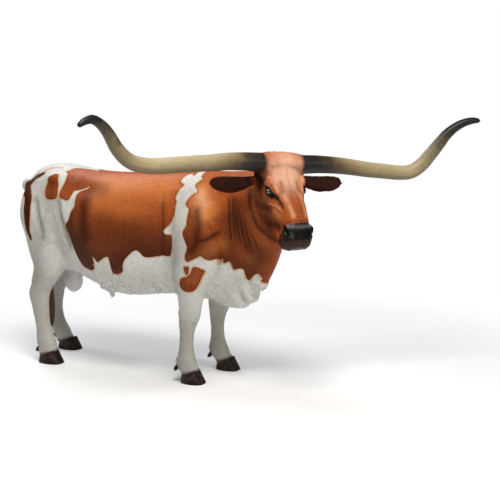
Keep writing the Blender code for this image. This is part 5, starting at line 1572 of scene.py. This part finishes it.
# Resin casting, sprayed with satin paint. The moulded hair is painted lighter on its ridges, as highlights,
# and holds a dark wash in its grooves that is also painted shade; markings have hard hairy edges with a tan
# fringe, shading is airbrushed.
def coatMaterial():
    made, node, shader = newMaterial("airbrushed satin paint on cast resin")
    place = node("TexCoord", {}, output=3)
    read = {}
    for name in ("brown", "umber", "orange", "pale", "black", "grey", "dirt", "lip", "inner", "gloss"):
        read[name] = node("Attribute", {}, output=2, attribute_name=name)
    combed = {"Vector": place, "Orientation 3D": node("Attribute", {}, output=1, attribute_name="across")}
    lock, hair = (node("TexGabor", {**combed, "Scale": scale, "Frequency": waves, "Anisotropy": narrow},
                       gabor_type="3D") for scale, waves, narrow in (coatPaint["lock"], coatPaint["hair"]))
    mottle = node("TexNoise", {"Vector": place, "Scale": 42.0, "Detail": 3.0, "Roughness": 0.6})
    cloud = node("TexNoise", {"Vector": place, "Scale": 7.0, "Detail": 2.0})
    ragged = node("TexNoise", {"Vector": place, "Scale": 130.0, "Detail": 2.0})

    # the ragged edge of the brown
    jitter = node("Math", {0: ragged, 1: 0.006, 2: -0.003}, operation="MULTIPLY_ADD")
    comb = node("Math", {0: hair, 1: 0.006, 2: -0.003}, operation="MULTIPLY_ADD")
    depth = node("Math", {0: read["brown"], 1: jitter}, operation="ADD")
    depth = node("Math", {0: depth, 1: comb}, operation="ADD")
    isBrown = node("MapRange", {0: depth, 1: -0.0012, 2: 0.0012}, **soft)
    rim = node("MapRange", {0: depth, 1: 0.016, 2: 0.001}, **soft)
    fringe = node("MapRange", {0: depth, 1: -0.015, 2: 0.0}, **soft)

    grain = node("Math", {0: lock, 1: 0.6, 2: 0.2}, operation="MULTIPLY_ADD")
    grain = node("Math", {0: hair, 1: 0.4, 2: grain}, operation="MULTIPLY_ADD")
    light = node("MapRange", {0: mottle, 1: 0.40, 2: 0.75})
    deep = node("MapRange", {0: mottle, 1: 0.60, 2: 0.28})
    # darker in the grooves: a wash that is also painted shade; lighter on the ridges: painted highlights
    grooves = node("MapRange", {0: grain, 1: 0.62, 2: 0.35})
    ridges = node("MapRange", {0: grain, 1: 0.60, 2: 0.90})

    # each layer: how much of it, how strong, its colour
    def layered(base, layers):
        for amount, strength, colour in layers:
            factor = node("Math", {0: amount, 1: strength}, operation="MULTIPLY", use_clamp=True)
            colour = toLinear(coatPaint[colour])
            base = node("Mix", {0: factor, 6: base, 7: colour}, **blend)
        return base

    # the brown: mottled, with painted highlights, a darker rim inside its edge, painted shade low down and in
    # the hollows, and a wash in its grooves
    brown = layered(toLinear(coatPaint["brown"]), (
        (light, 0.45, "brownLight"), (deep, 0.40, "brownDark"), (cloud, 0.25, "brownDark"),
        (read["orange"], 0.85, "orange"), (read["pale"], 0.85, "pale"), (ridges, 0.28, "orange"),
        (rim, 0.60, "rim"), (read["umber"], 0.92, "umber"), (grooves, 0.42, "umber")))
    # the white: mottled, with painted shade in its grooves, low on the legs and in its creases, and a tan
    # fringe along the brown
    white = layered(toLinear(coatPaint["white"]), (
        (grooves, 0.40, "whiteDeep"), (cloud, 0.20, "whiteDeep"), (deep, 0.25, "whiteDeep"),
        (read["dirt"], 0.66, "dirt"), (fringe, 0.85, "fringe")))
    both = node("Mix", {0: isBrown, 6: white, 7: brown}, **blend)
    # then black paint, the lips' brown, a painted grey highlight on the nose and the inside of the ears
    both = layered(both, ((read["black"], 1.0, "black"), (read["lip"], 0.85, "lip"),
                          (read["grey"], 0.60, "grey"), (read["inner"], 0.68, "innerEar")))

    rough = node("MapRange", {0: grain, 1: 0.2, 2: 0.9, 3: 0.56, 4: 0.42})
    rough = node("Math", {0: read["gloss"], 1: -0.16, 2: rough}, operation="MULTIPLY_ADD")
    # locks and hairs as one height in metres, giving way to a pebbled skin on the nose and the lids
    height = node("Math", {0: lock, 1: coatPaint["lockBump"], 2: 0.0}, operation="MULTIPLY_ADD")
    height = node("Math", {0: hair, 1: coatPaint["hairBump"], 2: height}, operation="MULTIPLY_ADD")
    pebbles = node("TexVoronoi", {"Vector": place, "Scale": coatPaint["pebbleScale"]}, feature="SMOOTH_F1")
    pebbles = node("Math", {0: pebbles, 1: -coatPaint["pebbleBump"]}, operation="MULTIPLY")
    height = node("Mix", {0: read["gloss"], 2: height, 3: pebbles}, data_type="FLOAT")
    bump = node("Bump", {"Height": height, "Distance": 1.0, "Strength": 1.0})
    feed(shader, {"Base Color": both, "Roughness": rough, "IOR": 1.48,
                  "Specular IOR Level": 0.12, "Normal": bump})
    return made


hornPaint = {
    # distance out along the horn and the colour there
    "run": ((0.17, "#120e0c"), (0.27, "#19120f"), (0.35, "#3c2b20"), (0.44, "#6c593a"), (0.58, "#8f7d5b"),
            (0.90, "#a3926d"), (1.00, "#978665"), (1.08, "#7d6e50"), (1.15, "#473c2f"), (1.22, "#191411"),
            (1.40, "#070605")),
    # the colours of the painted shade underneath, of the streaks and of the painted highlight on top
    "under": "#2e2415", "streak": "#5a4a31", "pale": "#ded2b0",
}


# Cast horn, painted in long streaks and lacquered: cream with a dark root and tip, painted shade underneath
# and a painted highlight along its top
def hornMaterial():
    made, node, shader = newMaterial("lacquered paint on cast horn")
    place = node("TexCoord", {}, output=3)
    out = node("Attribute", {}, output=2, attribute_name="out")
    under = node("Attribute", {}, output=2, attribute_name="under")
    blotch = node("TexNoise", {"Vector": place, "Scale": 16.0, "Detail": 4.0, "Roughness": 0.6})
    shifted = node("Math", {0: blotch, 1: 0.16, 2: -0.08}, operation="MULTIPLY_ADD")
    shifted = node("Math", {0: shifted, 1: out}, operation="ADD")
    shifted = node("Math", {0: under, 1: -0.055, 2: shifted}, operation="MULTIPLY_ADD")
    low, high = hornPaint["run"][0][0], hornPaint["run"][-1][0]
    share = node("MapRange", {0: shifted, 1: low, 2: high})
    colour = node("ValToRGB", {0: share})
    ramp = colour.node.color_ramp
    while len(ramp.elements) < len(hornPaint["run"]):
        ramp.elements.new(0.5)
    for element, (at, _) in zip(ramp.elements, hornPaint["run"]):
        element.position = (at - low) / (high - low)
    for element, (_, hexColour) in zip(ramp.elements, hornPaint["run"]):
        element.color = toLinear(hexColour)
    streaks = node("TexNoise", {"Vector": place, "Scale": 55.0, "Detail": 3.0, "Roughness": 0.65})
    dark = node("MapRange", {0: streaks, 1: 0.50, 2: 0.75, 4: 0.40})
    # painted shade on the faces that turn down, a painted highlight on those that turn up
    shade = node("MapRange", {0: under, 1: 0.05, 2: 0.95, 4: 0.62}, **soft)
    glow = node("MapRange", {0: under, 1: -0.25, 2: -0.9, 4: 0.26})
    # none of them at the root or the tip
    pastRoot = node("MapRange", {0: out, 1: 0.34, 2: 0.50})
    beforeTip = node("MapRange", {0: out, 1: 1.20, 2: 1.05})
    for amount, name in ((glow, "pale"), (dark, "streak"), (shade, "under")):
        amount = node("Math", {0: amount, 1: pastRoot}, operation="MULTIPLY")
        amount = node("Math", {0: amount, 1: beforeTip}, operation="MULTIPLY")
        tint = toLinear(hornPaint[name])
        colour = node("Mix", {0: amount, 6: colour, 7: tint}, **blend)
    bump = node("Bump", {"Height": streaks, "Distance": 0.0010, "Strength": 0.7})
    feed(shader, {"Base Color": colour, "Roughness": 0.42, "IOR": 1.50,
                  "Specular IOR Level": 0.30, "Normal": bump})
    return made


hoofPaint = {"base": "#100a08", "edge": "#5e4032"}


# Cast hoof, painted almost black, rubbed brown over its ridges and lighter at its lower edge
def hoofMaterial():
    made, node, shader = newMaterial("rubbed dark paint on cast hoof")
    place = node("TexCoord", {}, output=3)
    level = node("SeparateXYZ", {0: place}, output=2)
    patches = node("TexNoise", {"Vector": place, "Scale": 26.0, "Detail": 4.0, "Roughness": 0.6})
    worn = node("MapRange", {0: patches, 1: 0.44, 2: 0.66})
    bandUp = node("MapRange", {0: level, 1: 0.012, 2: 0.045})
    bandDown = node("MapRange", {0: level, 1: 0.085, 2: 0.05})
    band = node("Math", {0: bandUp, 1: bandDown}, operation="MULTIPLY")
    amount = node("Math", {0: band, 1: 0.35, 2: 0.25}, operation="MULTIPLY_ADD")
    amount = node("Math", {0: amount, 1: worn}, operation="MULTIPLY")
    colour = node("Mix", {0: amount, 6: toLinear(hoofPaint["base"]), 7: toLinear(hoofPaint["edge"])}, **blend)
    bump = node("Bump", {"Height": patches, "Distance": 0.0008, "Strength": 0.8})
    feed(shader, {"Base Color": colour, "Roughness": 0.42, "IOR": 1.48,
                  "Specular IOR Level": 0.25, "Normal": bump})
    return made


irisPaint = {"iris": "#4a2110", "irisLight": "#7c4526", "ring": "#665850", "white": "#1a120f",
             "pupil": "#040303"}


# Painted ball under clear gloss: a brown iris, a wide pupil and a grey ring round it
def eyeMaterial():
    made, node, shader = newMaterial("painted ball under clear gloss")
    a = node("Attribute", {}, output=2, attribute_name="irisLong")
    b = node("Attribute", {}, output=2, attribute_name="irisTall")
    out = node("Attribute", {}, output=2, attribute_name="irisOut")
    spotVector = node("CombineXYZ", {0: a, 1: b})
    radius = node("VectorMath", {0: spotVector}, output=1, operation="LENGTH")
    squeezed = node("VectorMath", {0: spotVector, 1: (0.62, 1.35, 1.0)}, operation="MULTIPLY")
    oval = node("VectorMath", {0: squeezed}, output=1, operation="LENGTH")
    flecks = node("TexNoise", {"Vector": spotVector, "Scale": 9.0, "Detail": 3.0})
    brown, light = toLinear(irisPaint["iris"]), toLinear(irisPaint["irisLight"])
    colour = node("Mix", {0: flecks, 6: brown, 7: light}, **blend)
    ring = node("MapRange", {0: radius, 1: 0.56, 2: 0.66}, **soft)
    outer = node("MapRange", {0: radius, 1: 0.70, 2: 0.78}, **soft)
    pupil = node("MapRange", {0: oval, 1: 0.26, 2: 0.22}, **soft)
    behind = node("MapRange", {0: out, 1: 0.1, 2: -0.1})
    for amount, name in ((ring, "ring"), (outer, "white"), (pupil, "pupil"), (behind, "white")):
        colour = node("Mix", {0: amount, 6: colour, 7: toLinear(irisPaint[name])}, **blend)
    feed(shader, {"Base Color": colour, "Roughness": 0.25, "Coat Weight": 1.0, "Coat Roughness": 0.03})
    return made


switchPaint = {"root": "#5a2411", "tip": "#1d0d08"}


# Moulded locks, painted from red-brown to nearly black at their tips
def switchMaterial():
    made, node, shader = newMaterial("satin paint on moulded locks")
    tip = node("Attribute", {}, output=2, attribute_name="tip")
    place = node("TexCoord", {}, output=3)
    squeezed = node("Mapping", {"Vector": place, "Scale": (260.0, 260.0, 18.0)})
    strands = node("TexNoise", {"Vector": squeezed, "Scale": 1.0, "Detail": 2.0})
    mixed = node("Math", {0: strands, 1: 0.7, 2: -0.30}, operation="MULTIPLY_ADD")
    mixed = node("Math", {0: mixed, 1: tip}, operation="ADD", use_clamp=True)
    root, end = toLinear(switchPaint["root"]), toLinear(switchPaint["tip"])
    colour = node("Mix", {0: mixed, 6: root, 7: end}, **blend)
    bump = node("Bump", {"Height": strands, "Distance": 0.0012, "Strength": 1.0})
    feed(shader, {"Base Color": colour, "Roughness": 0.45, "Normal": bump})
    return made


# The studio: a pale floor that fades out, a white backdrop of light, soft lamps and the camera

studio = {
    "camera": (3.40234, -5.88653, 1.93428), "azimuth": 27.0, "pitch": -8.42, "lens": 74.39,
    "floorColour": "#ffffff", "floorRadius": 6.0, "fadeFrom": 1.2, "fadeTo": 3.8,
    "sky": "#ffffff", "skyStrength": 0.215,
    # place, aim, size, watts, colour
    "lamps": (
        ((1.4, -2.2, 5.6), (0.1, 0.0, 1.0), 2.4, 262.0, "#fffcf8"),
        ((4.9, -1.6, 3.2), (0.3, 0.0, 1.2), 1.4, 62.0, "#fffcf8"),
        ((-3.5, 1.5, 4.6), (0.0, 0.0, 1.0), 3.0, 130.0, "#f7f9ff"),
    ),
}


def buildStudio():
    radius = np.array([0.001, 1.0, 2.0, 4.0, studio["floorRadius"]])[:, None]
    a = around(96)[None, :]
    grid = np.stack([radius * np.cos(a), radius * np.sin(a), 0 * radius * a], axis=-1)
    sides = grid.shape[1]
    p, q = cells(*grid.shape[:2])
    faces = np.stack([p, p + sides, q + sides, q], -1).reshape(-1, 4)
    floor = meshObject("floor", grid.reshape(-1, 3), faces)
    made, node, shader = newMaterial("pale studio floor")
    away = node("VectorMath", {0: node("TexCoord", {}, output=3)}, output=1, operation="LENGTH")
    # further out it shines as bright as the backdrop, so that no edge shows
    glow = node("MapRange", {0: away, 1: studio["fadeFrom"], 2: studio["fadeTo"]}, **soft)
    near = node("Mix", {0: glow, 6: toLinear(studio["floorColour"]), 7: (0.0, 0.0, 0.0, 1.0)}, **blend)
    feed(shader, {"Base Color": near, "Roughness": 0.9, "Specular IOR Level": 0.1, "Emission Strength": glow,
                  "Emission Color": toLinear(studio["sky"])})
    floor.data.materials.append(made)

    world = bpy.data.worlds.new("studio light")
    bpy.context.scene.world = world
    world.use_nodes = True
    tree = world.node_tree
    tree.nodes.clear()
    seen = wire(tree, "LightPath", {})
    plain = wire(tree, "Background", {0: toLinear(studio["sky"]), 1: 1.0})
    lit = wire(tree, "Background", {0: toLinear(studio["sky"]), 1: studio["skyStrength"]})
    both = wire(tree, "MixShader", {0: seen, 1: lit, 2: plain})
    feed(tree.nodes.new("ShaderNodeOutputWorld"), {0: both})

    for i, (place, aim, size, watts, colour) in enumerate(studio["lamps"]):
        lamp = bpy.data.lights.new("lamp%d" % i, "AREA")
        lamp.shape = "DISK"
        lamp.size = size
        lamp.energy = watts
        lamp.color = toLinear(colour)[:3]
        hung = placed("lamp%d" % i, lamp)
        hung.location = place
        hung.rotation_euler = (Vector(aim) - Vector(place)).to_track_quat("-Z", "Y").to_euler()

    camera = placed("camera", bpy.data.cameras.new("camera"))
    camera.location = studio["camera"]
    camera.rotation_euler = (math.radians(90 + studio["pitch"]), 0, math.radians(studio["azimuth"]))
    camera.data.lens = studio["lens"]
    camera.data.sensor_width = 36.0
    bpy.context.scene.camera = camera
    bpy.context.scene.view_settings.view_transform = "Standard"


def main():
    coat = coatMaterial()
    skinPiece = buildSkin()
    flesh = ["head", "neck", "trunk", "tail", "scrotum", "ear_left", "ear_right"]
    flesh += [kind + "leg_" + word for kind in ("fore", "hind") for word in ("left", "right")]
    settle(skinPiece, coat, flesh)
    settle(buildLocks(skinPiece), coat, [])
    horns, balls, hoofCoat = hornMaterial(), eyeMaterial(), hoofMaterial()
    for side, word in ((-1, "right"), (1, "left")):
        settle(buildHorn(side), horns, ["horn_" + word])
        settle(buildEye(side), balls, ["eye_" + word])
        for kind in ("fore", "hind"):
            leg = kind + "leg_" + word
            for half, letter in ((-1, "a"), (1, "b")):
                claw = buildClaw(leg + "_hoof_" + letter, kind, side, half)
                settle(claw, hoofCoat, [leg + "_claw_" + letter])
                dew = buildDewclaw(leg + "_dewhoof_" + letter, kind, side, half)
                settle(dew, hoofCoat, [leg + "_dewclaw_" + letter])
    settle(buildSwitch(), switchMaterial(), [])
    print("pieces made")
    buildStudio()


main()
